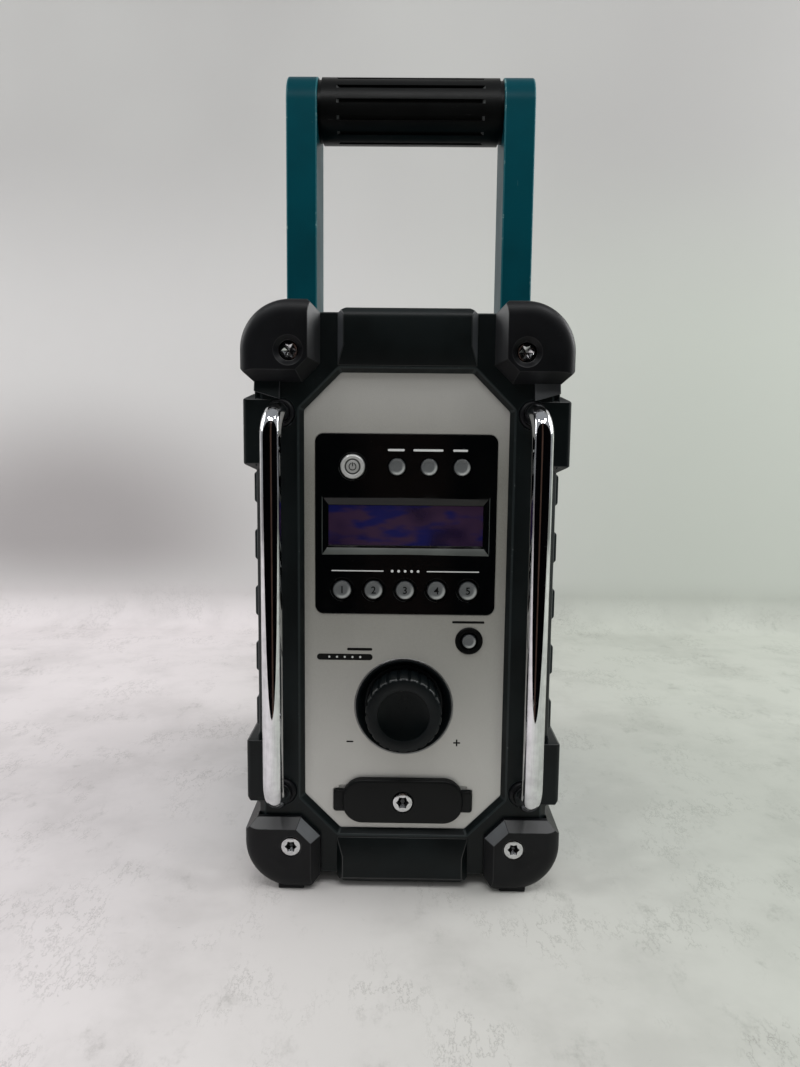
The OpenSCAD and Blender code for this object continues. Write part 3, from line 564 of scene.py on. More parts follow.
@dataclass(frozen=True)
class TurnedMetal(Finish):
    """Silver turned on a lathe, with fine rings about an axis along Y.

    Attributes:
        colour: The metal's colour.
        centre: A point on the axis.
        groove: Inner and outer radius of a darker groove.
        pitch: Width of a ring in millimetres.
        dirt: The colour in the groove.
    """

    colour: Colour
    centre: Place
    groove: Pair
    pitch: float = 0.45
    dirt: Colour = rgb("1a1b1b")

    def wire(self, graph: Graph) -> None:
        """Wires rings, a darker groove and a darker disc inside it from the distance to the axis.

        Args:
            graph: The graph.
        """
        reach = graph.place((1.0, 0.0, 1.0), self.centre).length()
        rings = reach.wave(self.pitch)
        wear = graph.noise(1.6, 3).step(0.5, 0.75)
        darker = shade(self.colour, 0.6)
        near, far = self.groove
        darkened = reach.step(near - 0.2, near) * reach.step(far + 0.2, far)
        inner = reach.step(far, near) * 0.6
        tone = graph.blend(rings * 0.25 + wear * 0.2 + inner, self.colour, darker)
        graph.surface(Base_Color=graph.blend(darkened * 0.85, tone, self.dirt), Metallic=0.45,
                      Roughness=0.34 + rings * 0.08 + wear * 0.15, Normal=graph.relief(rings, 0.004))


@dataclass(frozen=True)
class SmokedKey(Finish):
    """Smoked grey plastic of a key: dark at its rim, with a painted highlight crescent on its lower side.

    Attributes:
        rim: The colour at the rim.
        middle: The colour inside it.
        glow: The colour of the painted highlight crescent.
        centre: The middle of the key.
        radius: The key's radius.
        glow_side: The direction in which the painted highlight crescent lies.
    """

    rim: Colour
    middle: Colour
    glow: Colour
    centre: Place
    radius: float
    glow_side: Place = (0.6, 0.0, -0.8)

    def wire(self, graph: Graph) -> None:
        """Wires a soft change of tone from the rim inwards, with a painted highlight crescent and a worn patch.

        Args:
            graph: The graph.
        """
        r = self.radius
        flat = graph.place((1.0, 0.0, 1.0), self.centre)
        reach = flat.length()
        cloud = graph.noise(1.8, 3)
        leaning = graph.node("ShaderNodeVectorMath", {"operation": "DOT_PRODUCT"},
                             {0: flat, 1: self.glow_side}, "Value")
        crescent = reach.step(r * 0.5, r * 0.72) * leaning.step(-0.1 * r, 0.7 * r)
        worn = graph.blend(cloud.step(0.55, 0.8) * 0.3, self.middle, self.rim)
        lit = graph.blend(crescent, worn, self.glow)
        tone = graph.blend(reach.step(r * 0.84, r * 0.97), lit, self.rim)
        graph.surface(Base_Color=tone, Roughness=0.24 + cloud * 0.14, Specular_IOR_Level=0.6,
                      Normal=graph.relief(cloud, 0.01))


@dataclass(frozen=True)
class Paint(Finish):
    """Thick paint on metal with orange peel, small chips and dust."""

    colour: Colour
    roughness: float = 0.34
    chip: Colour = rgb("7fa5a3")

    def wire(self, graph: Graph) -> None:
        """Wires the paint's tone, its peel and a few chips.

        Args:
            graph: The graph.
        """
        peel = graph.noise(0.8, 2)
        cloud = graph.noise(30, 3)
        darker = shade(self.colour, 0.82)
        body = graph.blend(cloud.step(0.35, 0.7), self.colour, darker)
        chips = graph.specks(9, 0.25) * graph.noise(12, 2).step(0.6, 0.68)
        streaks = graph.noise(0.5, 2, graph.place((1.0, 1.0, 0.06))).step(0.72, 0.8) * 0.2
        tone = graph.blend((chips * 0.7) | streaks, body, self.chip)
        graph.surface(Base_Color=tone, Roughness=self.roughness + (cloud - 0.5) * 0.12 + chips * 0.3,
                      Specular_IOR_Level=0.06, Normal=graph.relief(peel, 0.012))


@dataclass(frozen=True)
class PaperCone(Finish):
    """Pressed paper of a loudspeaker, with fibres and rings about an axis along X."""

    colour: Colour
    centre: Place

    def wire(self, graph: Graph) -> None:
        """Wires pressed rings and fibres.

        Args:
            graph: The graph.
        """
        reach = graph.place((0.0, 1.0, 1.0), self.centre).length()
        fibres = graph.noise(0.8, 3, soft=0.7)
        paler = shade(self.colour, 1.9)
        graph.surface(Base_Color=graph.blend(fibres.step(0.45, 0.75), self.colour, paler), Roughness=0.85,
                      Normal=graph.relief(reach.wave(3.2) + fibres * 0.4, 0.12))


@dataclass(frozen=True)
class BoardMask(Finish):
    """Circuit board under green solder mask, with copper tracks and pads."""

    mask: Colour
    track: Colour
    pad: Colour

    def wire(self, graph: Graph) -> None:
        """Wires a net of tracks and tinned pads.

        Args:
            graph: The graph.
        """
        cells = graph.node("ShaderNodeTexVoronoi", {"feature": "DISTANCE_TO_EDGE"},
                           {"Vector": graph.place(), "Scale": 0.25})
        tracks = cells.step(0.07, 0.03)
        pads = graph.specks(4, 0.55)
        tone = graph.blend(pads, graph.blend(tracks, self.mask, self.track), self.pad)
        graph.surface(Base_Color=tone, Metallic=pads * 0.8, Roughness=0.35 + tracks * 0.1,
                      Normal=graph.relief(tracks | pads, 0.05))


@dataclass(frozen=True)
class Ink(Finish):
    """Screen-printed ink, slightly thin in places."""

    colour: Colour
    thin: Colour

    def wire(self, graph: Graph) -> None:
        """Wires thin spots in the print.

        Args:
            graph: The graph.
        """
        spots = graph.noise(0.5, 3).step(0.55, 0.8)
        graph.surface(Base_Color=graph.blend(spots * 0.6, self.colour, self.thin), Roughness=0.45 + spots * 0.2,
                      Specular_IOR_Level=0.2)


# Mottle, grain, depth and dust of mouldings that come out of one tool.
FRAME_TEXTURE = (0.3, 0.3, 0.02, 0.14)
RUBBER_TEXTURE = (0.25, 0.45, 0.02, 0.18)
EDGE_TEXTURE = (0.15, 0.3, 0.004, 0.1)

FRAME_PLASTIC = Moulding("frame_plastic", "frame_plastic", rgb("0a1112"), 0.4, *FRAME_TEXTURE)
# Frame edges: rubbed chips, and a body colour lighter than the frame's that paints a highlight on every rounding.
FRAME_EDGE = WornEdge("frame_plastic_edge", "frame_plastic", rgb("1f2627"), rgb("565c5d"), 0.26, 0.38)
BUMPER_RUBBER = Moulding("bumper_rubber", "bumper_rubber", rgb("0d0e11"), 0.44, *RUBBER_TEXTURE)
# Lighter rubber on the upper bumpers' inner facets and the lower bumpers' top facets: a painted highlight.
PAINTED_HIGHLIGHT_RUBBER = Moulding("rubbed_rubber", "bumper_rubber", rgb("15171a"), 0.46, *RUBBER_TEXTURE, gloss=1.0)
# Lighter, glossier plastic on roundings, sloped ends and the knob's upper rim: a painted highlight.
PAINTED_HIGHLIGHT_PLASTIC = Moulding("rubbed_plastic", "frame_plastic", rgb("101617"), 0.42, *FRAME_TEXTURE, gloss=0.9)
# Its low and high colours paint the reflection of the pale floor and the dark front.
SILVER_LACQUER = Lacquer("silver_lacquer", "silver_panel", rgb("c8c7c3"), rgb("8d8c84"), 25, 190)
GLOSS_BLACK = Gloss("gloss_black", "gloss_black", rgb("040506"))
LCD_GLASS = DisplayGlass("lcd_glass", "lcd_glass", rgb("35253a"), rgb("15184c"), rgb("17102a"))
CHROME = Metal("chrome", "chrome", rgb("e4e5e8"), 0.03, 0.08, 5.0, 0.001)
SCREW_CHROME = Metal("screw_chrome", "chrome", rgb("dadbdd"), 0.16, 0.14, 1.4, 0.006)
RIM_SILVER = Metal("rim_silver", "silver_panel", rgb("8d8e8f"), 0.4, 0.1, 2.0, 0.001)
KNOB_BLACK = Moulding("knob_black", "knob_black", rgb("0b1012"), 0.38, 0.2, 0.35, 0.01, 0.12)
KNOB_HOLLOW = Moulding("knob_hollow", "knob_black", rgb("05090a"), 0.3, 0.2, 0.35, 0.004, 0.1, gloss=0.12)
RING_BLACK = Moulding("ring_black", "gloss_black", rgb("060707"), 0.4, 0.2, 0.3, 0.004, 0.1, gloss=0.14)
# Grey on the side facets of the display's opening: a painted highlight.
OPENING_EDGE = Moulding("opening_edge", "gloss_black", rgb("404544"), 0.3, *EDGE_TEXTURE, gloss=0.5)
SOCKET_SHADE = Metal("socket_shade", "chrome", rgb("4a4b4d"), 0.24, 0.14, 1.4, 0.006)
# Faintly lighter rubber on the bumpers' rounded edges: a painted highlight.
BUMPER_EDGE = Moulding("bumper_edge", "bumper_rubber", rgb("121316"), 0.45, *RUBBER_TEXTURE, gloss=0.5)
# Grey on the lower facet of the display's window: a painted reflection of the light above.
FACET_REFLECTION = Moulding("display_facet", "gloss_black", rgb("525653"), 0.35, *EDGE_TEXTURE, gloss=0.5)
# Grey on the lower left side of each key hole: a painted highlight.
HOLE_EDGE = Moulding("key_hole_edge", "gloss_black", rgb("474a49"), 0.3, *EDGE_TEXTURE, gloss=0.5)
# Still lighter rubber on the lower bumpers' diagonal facets: a painted sheen.
SHEEN_RUBBER = Moulding("sheen_rubber", "bumper_rubber", rgb("54575a"), 0.42, *RUBBER_TEXTURE, gloss=1.0)
# Pale plastic for faces that the light falls on: a painted sheen.
SHEEN_PLASTIC = Moulding("sheen_plastic", "frame_plastic", rgb("36393c"), 0.42, *FRAME_TEXTURE, gloss=0.9)
# Light grey on the ramps at the ends of the grip's slots: a painted glint.
SLOT_EDGE = Moulding("slot_edge", "grip_rubber", rgb("484a4a"), 0.36, 0.2, 0.4, 0.01, 0.14)
COVER_RUBBER = Moulding("cover_rubber", "cover_rubber", rgb("090b0c"), 0.46, 0.2, 0.5, 0.015, 0.16)
TEAL_PLASTIC = Moulding("teal_plastic", "teal_plastic", rgb("07505a"), 0.42, 0.14, 0.4, 0.02, 0.2, rgb("8fb0ae"))
TEAL_PAINT = Paint("teal_paint", "teal_paint", rgb("003f49"))
TEAL_EDGE = WornEdge("teal_paint_edge", "teal_paint", rgb("0a545d"), rgb("6f8f8e"), 0.3, 0.36)
GRIP_RUBBER = Moulding("grip_rubber", "grip_rubber", rgb("090a0a"), 0.36, 0.2, 0.4, 0.015, 0.14, gloss=0.15)
POWDER_COAT = Moulding("grille_metal", "grille_metal", rgb("141618"), 0.5, 0.2, 0.5, 0.04, 0.2)
ZINC = Metal("zinc_steel", "zinc_steel", rgb("a3a7a8"), 0.3, 0.15, 3.0, 0.02)
BRASS = Metal("contact_brass", "contact_brass", rgb("c9a04e"), 0.25, 0.15, 2.0, 0.01)
CONE_PAPER = PaperCone("speaker_cone", "speaker_cone", rgb("26282b"), (0.0, 7.5, 128.0))
BOARD_MASK = BoardMask("circuit_board", "circuit_board", rgb("14512f"), rgb("1f6f42"), rgb("b9bcae"))
INNER_PLASTIC = Moulding("inner_plastic", "inner_plastic", rgb("202223"), 0.55, 0.2, 0.6, 0.03, 0.2)
WHITE_INK = Ink("white_ink", "gloss_black", rgb("cfd1d0"), rgb("8a8c8c"))
DARK_INK = Ink("dark_ink", "silver_panel", rgb("0b0b0b"), rgb("222220"))
KEY_INK = Ink("key_ink", "button_grey", rgb("08090a"), rgb("15171a"))


# ---- Bench ----


class Element(Enum):
    """What edit mode selects."""

    VERT = "VERT"
    EDGE = "EDGE"
    FACE = "FACE"


def edge_along(axis: str, **places: float) -> EdgeTest:
    """Makes a test for edges.

    Args:
        axis: The axis that they are parallel to, "x", "y" or "z".
        **places: Their place along other axes, such as x=75.3.

    Returns:
        A function of an edge's two ends that tells whether it is such an edge.
    """
    def test(start: Vector, end: Vector) -> bool:
        """Compares one edge."""
        parallel = all(abs(getattr(start, other) - getattr(end, other)) < NEAR for other in "xyz" if other != axis)
        return parallel and all(abs(getattr(start, other) - at) < NEAR for other, at in places.items())

    return test


def edge_at(y: float) -> EdgeTest:
    """Makes a test for edges whose two ends lie at a place along Y."""
    return lambda start, end: abs(start.y - y) < NEAR and abs(end.y - y) < NEAR


def everything(*element: Vector) -> bool:
    """Passes every element of a mesh."""
    return True


class Workpiece:
    """A mesh on the bench, in millimetres until it is mounted."""

    def __init__(self, obj: bpy.types.Object) -> None:
        """Takes up an object."""
        self.obj = obj
        self.finish: Finish | None = None

    @classmethod
    def fresh(cls, name: str) -> Self:
        """Takes up the primitive that was just added, with its place applied to its mesh.

        Args:
            name: The piece's name.

        Returns:
            The piece.
        """
        obj = bpy.context.active_object
        obj.name = name
        obj.data.name = name
        bpy.ops.object.transform_apply(location=True, rotation=True, scale=True)
        return cls(obj)

    @classmethod
    def box(cls, name: str, low: Place, high: Place) -> Self:
        """Adds a box.

        Args:
            name: The piece's name.
            low: One of its corners.
            high: The opposite corner.

        Returns:
            The box.
        """
        size = [abs(b - a) for a, b in zip(Vector(low), Vector(high))]
        bpy.ops.mesh.primitive_cube_add(size=1, location=(Vector(low) + Vector(high)) / 2, scale=size)
        return cls.fresh(name)

    @classmethod
    def sheet(cls, name: str, centre: Place, width: float, length: float, upright: bool = False) -> Self:
        """Adds a flat sheet.

        Args:
            name: The piece's name.
            centre: Its middle.
            width: Its size along X.
            length: Its size along Y, or along Z where it is upright.
            upright: Whether it stands and faces the back instead of lying.

        Returns:
            The sheet.
        """
        turn = (-math.pi / 2, 0, 0) if upright else (0, 0, 0)
        bpy.ops.mesh.primitive_plane_add(size=1, location=centre, rotation=turn)
        bpy.context.active_object.scale = (width, length, 1)
        return cls.fresh(name)

    @classmethod
    def rod(cls, radius: float, centre: Pair, start: float, end: float, sides: int = 64,
            end_radius: float | None = None) -> Self:
        """Adds a round rod or cone along Y, which is then fused with a piece or cut out of it.

        Args:
            radius: Its radius.
            centre: X and Z of its axis.
            start: Y of its first end.
            end: Y of its other end.
            sides: How many sides the round has.
            end_radius: Its radius at the other end, where that differs.

        Returns:
            The rod.
        """
        x, z = centre
        line = Vector((x, end, z)) - Vector((x, start, z))
        tip = radius if end_radius is None else end_radius
        bpy.ops.mesh.primitive_cone_add(vertices=sides, radius1=radius, radius2=tip, depth=line.length,
                                        location=Vector((x, start, z)) + line / 2,
                                        rotation=line.to_track_quat("Z", "Y").to_euler())
        return cls.fresh("rod")

    @classmethod
    def turned(cls, name: str, profile: Profile, origin: Place, sides: int, axis: Place = FORWARDS) -> Self:
        """Turns a closed solid from a disc that is extruded and resized step by step.

        Args:
            name: The piece's name.
            profile: Radius and reach along the axis of each step; a last radius of 0 closes in a point.
            origin: The point where reach is 0.
            sides: How many sides the round has.
            axis: The direction of the axis.

        Returns:
            The turned piece.
        """
        line = Vector(axis).normalized()
        radius, reach = profile[0]
        bpy.ops.mesh.primitive_circle_add(vertices=sides, radius=radius, fill_type="NGON",
                                          location=Vector(origin) + line * reach,
                                          rotation=line.to_track_quat("Z", "Y").to_euler())
        piece = cls.fresh(name)
        bpy.ops.object.mode_set(mode="EDIT")
        bpy.ops.mesh.select_all(action="SELECT")
        for next_radius, next_reach in profile[1:]:
            bpy.ops.mesh.extrude_region_move(TRANSFORM_OT_translate={"value": line * (next_reach - reach)})
            if next_radius == 0:
                bpy.ops.mesh.merge(type="CENTER")
            elif next_radius != radius:
                scale = next_radius / radius
                centre = Vector(origin) + line * next_reach
                bpy.ops.transform.resize(value=(scale, scale, scale), center_override=centre)
            radius, reach = next_radius, next_reach
        bpy.ops.mesh.select_all(action="SELECT")
        bpy.ops.mesh.normals_make_consistent(inside=False)
        bpy.ops.object.mode_set(mode="OBJECT")
        return piece

    @classmethod
    def from_node(cls, node: str) -> Self:
        """Copies a frame node onto the bench, with its loose triangles merged into faces.

        Args:
            node: The frame node.

        Returns:
            The copy, called the node's shell.
        """
        mesh = frame["nodes"][node].data.copy()
        mesh.materials.clear()
        mesh.transform(Matrix.Scale(1 / MM, 4))
        obj = linked(f"{node}_shell", mesh)
        only(obj)
        bpy.ops.mesh.customdata_custom_splitnormals_clear()
        return cls(obj).level()

    @classmethod
    def lettering(cls, name: str, text: str, size: float, place: Place) -> Self:
        """Sets a plain character that faces the front, as a thin mesh.

        Args:
            name: The piece's name.
            text: The character.
            size: Its size.
            place: Its middle.

        Returns:
            The character.
        """
        bpy.ops.object.text_add(rotation=(math.pi / 2, 0, 0))
        label = bpy.context.active_object
        label.data.body = text
        label.data.size = size
        label.data.extrude = PRINT_DEPTH / 2
        label.data.offset = 0.012 * size
        label.data.align_x = "CENTER"
        label.data.align_y = "CENTER"
        bpy.ops.object.convert(target="MESH")
        piece = cls.fresh(name)
        corners = [vertex.co for vertex in piece.obj.data.vertices]
        middle = sum((Vector(map(pick, zip(*corners))) for pick in (min, max)), Vector()) / 2
        piece.obj.data.transform(Matrix.Translation(Vector(place) - middle))
        return piece

    def edit(self, element: Element, test: Callable[..., bool]) -> None:
        """Enters edit mode with just the elements selected that pass a test.

        Args:
            element: The kind of element.
            test: Gets a vertex's place, an edge's two ends, or a face's middle and normal.
        """
        only(self.obj)
        bpy.ops.object.mode_set(mode="EDIT")
        bpy.ops.mesh.select_mode(type=element.value)
        bpy.ops.mesh.select_all(action="DESELECT")
        mesh = bmesh.from_edit_mesh(self.obj.data)
        if element is Element.FACE:
            found = [f for f in mesh.faces if test(f.calc_center_median(), f.normal)]
        elif element is Element.EDGE:
            found = [e for e in mesh.edges if test(e.verts[0].co, e.verts[1].co)]
        else:
            found = [v for v in mesh.verts if test(v.co)]
        for item in found:
            item.select_set(True)
        mesh.select_flush_mode()
        bmesh.update_edit_mesh(self.obj.data)

    def done(self) -> Self:
        """Leaves edit mode."""
        bpy.ops.object.mode_set(mode="OBJECT")
        return self

    def bevel(self, test: EdgeTest, width: float, segments: int = 1) -> Self:
        """Bevels edges.

        Args:
            test: Tells from its two ends whether an edge is bevelled.
            width: Width of the bevel.
            segments: How many segments it has; several make it round.

        Returns:
            The piece itself.
        """
        self.edit(Element.EDGE, test)
        bpy.ops.mesh.bevel(offset=width, offset_type="OFFSET", segments=segments, profile=0.5,
                           clamp_overlap=False)
        return self.done()

    def slice(self, point: Place, normal: Place, keep: bool = False) -> Self:
        """Cuts the piece with a plane.

        Args:
            point: A point of the plane.
            normal: Its normal, which points to what is taken away.
            keep: Whether nothing is taken away, and only edges are added.

        Returns:
            The piece itself.
        """
        self.edit(Element.FACE, everything)
        bpy.ops.mesh.bisect(plane_co=point, plane_no=Vector(normal).normalized(), use_fill=not keep,
                            clear_outer=not keep, threshold=CUT_TOLERANCE)
        return self.done()

    def level(self) -> Self:
        """Welds the mesh and merges neighbouring faces that lie in one plane.

        Returns:
            The piece itself.
        """
        self.edit(Element.FACE, everything)
        bpy.ops.mesh.remove_doubles(threshold=WELD_TOLERANCE)
        bpy.ops.mesh.dissolve_limited(angle_limit=FLAT_ANGLE)
        return self.done()

    def part_at(self, *cuts: Cut) -> Self:
        """Parts wide faces along planes through their holes, and merges everything else that lies flat.

        Args:
            *cuts: Axis and place in millimetres of each plane.

        Returns:
            The piece itself.
        """
        for axis, place in cuts:
            normal = Vector([float(axis == letter) for letter in "XYZ"])
            self.edit(Element.FACE, everything)
            bpy.ops.mesh.bisect(plane_co=normal * place, plane_no=normal, threshold=CUT_TOLERANCE)
            bpy.ops.mesh.mark_seam()
            self.done()
        self.edit(Element.FACE, everything)
        bpy.ops.mesh.dissolve_limited(angle_limit=FLAT_ANGLE, delimit={"SEAM"})
        return self.done()

    def face(self, inside: bool = False) -> Self:
        """Turns all faces outwards, or inwards.

        Args:
            inside: Whether they turn inwards.

        Returns:
            The piece itself.
        """
        self.edit(Element.FACE, everything)
        bpy.ops.mesh.normals_make_consistent(inside=inside)
        return self.done()

    def combine(self, operation: str, tools: Iterable["Workpiece"]) -> Self:
        """Applies a boolean operation with each tool and removes the tool.

        Args:
            operation: "DIFFERENCE" or "UNION".
            tools: The tools, in order.

        Returns:
            The piece itself.
        """
        for tool in tools:
            modifier = self.obj.modifiers.new(operation, "BOOLEAN")
            modifier.operation = operation
            modifier.solver = "EXACT"
            modifier.object = tool.obj
            only(self.obj)
            bpy.ops.object.modifier_apply(modifier=modifier.name)
            bpy.data.objects.remove(tool.obj)
        return self

    def cut(self, *tools: "Workpiece") -> Self:
        """Takes the tools' shapes out of the piece."""
        return self.combine("DIFFERENCE", tools)

    def fuse(self, *tools: "Workpiece") -> Self:
        """Fuses the tools' shapes with the piece."""
        return self.combine("UNION", tools)

    def join(self, *others: "Workpiece") -> Self:
        """Takes other pieces into this object as loose parts.

        Args:
            *others: The other pieces.

        Returns:
            The piece itself.
        """
        only(self.obj)
        for other in others:
            other.obj.select_set(True)
        bpy.ops.object.join()
        return self

    def copy(self, name: str, change: Matrix | None = None) -> "Workpiece":
        """Copies the piece with its own mesh.

        Args:
            name: The copy's name.
            change: A turn, shift or mirror in millimetres; a mirrored mesh gets its normals recalculated.

        Returns:
            The copy.
        """
        piece = Workpiece(linked(name, self.obj.data.copy()))
        piece.finish = self.finish
        if change is not None:
            piece.obj.data.transform(change)
            if change.determinant() < 0:
                piece.face()
        return piece

    def paint(self, finish: Finish, *others: Finish) -> Self:
        """Gives the piece its materials.

        Args:
            finish: Its finish. The first one that a piece gets is kept as its finish.
            *others: Finishes of its rubbed edges or of single faces.

        Returns:
            The piece itself.
        """
        self.finish = self.finish or finish
        for used in (finish, *others):
            self.obj.data.materials.append(used.material())
        return self

    def dye(self, test: Callable[[Vector, Vector], bool], slot: int = 1) -> Self:
        """Puts the second or a further material on some faces.

        Args:
            test: Tells from its middle and its normal whether a face gets it.
            slot: Which material, where 0 is the first.

        Returns:
            The piece itself.
        """
        self.edit(Element.FACE, test)
        self.obj.active_material_index = slot
        bpy.ops.object.material_slot_assign()
        return self.done()

    def soften(self, width: float, segments: int = 2) -> Self:
        """Rounds every sharp edge. The second material, where there is one, goes on the rounding.

        Args:
            width: Width of the rounding in millimetres.
            segments: How many segments it has.

        Returns:
            The piece itself.
        """
        only(self.obj)
        bpy.ops.object.shade_smooth()
        modifier = self.obj.modifiers.new("soften", "BEVEL")
        modifier.width = width
        modifier.segments = segments
        modifier.limit_method = "ANGLE"
        modifier.angle_limit = SHARP_ANGLE
        modifier.use_clamp_overlap = False
        modifier.harden_normals = True
        modifier.miter_outer = "MITER_ARC"
        modifier.material = 1 if len(self.obj.data.materials) > 1 else -1
        bpy.ops.object.modifier_apply(modifier=modifier.name)
        return self

    def smooth(self, angle: float = 30.0) -> Self:
        """Shades the piece smooth.

        Args:
            angle: The angle in degrees above which an edge stays sharp.

        Returns:
            The piece itself.
        """
        only(self.obj)
        bpy.ops.object.shade_smooth_by_angle(angle=math.radians(angle))
        return self

    def to_metres(self) -> None:
        """Scales the mesh from millimetres to metres."""
        self.obj.data.transform(Matrix.Scale(MM, 4))
        self.obj.data.update()

    def mount(self, body: str, *replaced: str) -> None:
        """Scales the mesh to metres and puts the piece on its body.

        Args:
            body: The body that it rides on.
            *replaced: Frame nodes that it stands for.
        """
        self.to_metres()
        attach(self.obj, body)
        self.register(body, *replaced)

    def register(self, bodies: str, *replaced: str) -> None:
        """Hides the frame nodes that the piece stands for, and logs the piece with its faces and finish.

        Args:
            bodies: What it moves with, for the report.
            *replaced: Frame nodes that it stands for.
        """
        if replaced:
            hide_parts(*replaced)
        LOG.info("%s: %d faces on %s, %s", self.obj.name, len(self.obj.data.polygons), bodies, self.finish.name)

    def discard(self) -> None:
        """Removes the piece once its copies are made."""
        bpy.data.objects.remove(self.obj)


def finish_node(node: str, finish: Finish) -> None:
    """Dresses a frame node that stays.

    Args:
        node: The frame node.
        finish: Its finish.
    """
    obj = frame["nodes"][node]
    if not obj.material_slots:
        obj.data.materials.append(finish.material())
    for held in obj.material_slots:
        held.material = finish.material()
    LOG.info("%s: frame node, %s", node, finish.name)


def body_of(node: str) -> str:
    """Returns the body that a frame node rides on."""
    return frame["nodes"][node]["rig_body"]


def refine(node: str, finish: Finish, width: float, worn: Finish | None = None, segments: int = 2,
           cuts: tuple[Cut, ...] = ()) -> None:
    """Stands a copy with rounded edges in for a frame node.

    Args:
        node: The frame node.
        finish: Its finish.
        width: Width of the rounding in millimetres.
        worn: The finish of its rubbed edges.
        segments: How many segments the rounding has.
        cuts: Planes through the holes of its wide faces.
    """
    piece = Workpiece.from_node(node).part_at(*cuts).paint(finish, *filter(None, [worn]))
    piece.soften(width, segments).mount(body_of(node), node)


MIRROR_X = Matrix.Diagonal((-1.0, 1.0, 1.0, 1.0))


# ---- Sub-assemblies ----


@dataclass(frozen=True)
class SocketScrew:
    """Plated screw with a six-lobed recess that narrows inwards, its head towards the front."""

    head_radius: float
    recess_radius: float
    recess_depth: float = 2.2
    recess_floor: float = 0.5
    lobe_share: float = 0.66
    rim: float = 0.45
    head_height: float = 2.6
    shank_radius: float = 2.5
    shank_end: float = 18.0
    shaded: bool = True

    def make(self, name: str, face: Place) -> Workpiece:
        """Turns the screw and cuts the recess.

        Args:
            name: The piece's name.
            face: The middle of its head's face.

        Returns:
            The screw.
        """
        r, rim = self.head_radius, self.rim
        profile = [(self.shank_radius, -self.shank_end), (self.shank_radius, -self.head_height),
                   (r, -self.head_height), (r, -rim), (r - 0.3 * rim, -0.3 * rim), (r - rim, 0.0)]
        screw = Workpiece.turned(name, profile, face, 48)
        x, y, z = face
        floor = self.recess_radius * self.recess_floor
        mouth = self.recess_radius + (self.recess_radius - floor) / self.recess_depth
        star = Workpiece.rod(floor, (x, z), y + self.recess_depth, y - 1, 12, mouth)
        star.edit(Element.VERT, lambda co: round(math.degrees(math.atan2(co.z - z, co.x - x)) / 30) % 2 == 1)
        bpy.ops.transform.resize(value=(self.lobe_share, 1, self.lobe_share), center_override=(x, y, z))
        screw.cut(star.done()).paint(SCREW_CHROME, SOCKET_SHADE)
        return screw.dye(lambda middle, n: self.shaded and middle.y > y + 0.2
                         and math.hypot(middle.x - x, middle.z - z) < self.recess_radius * 0.97)


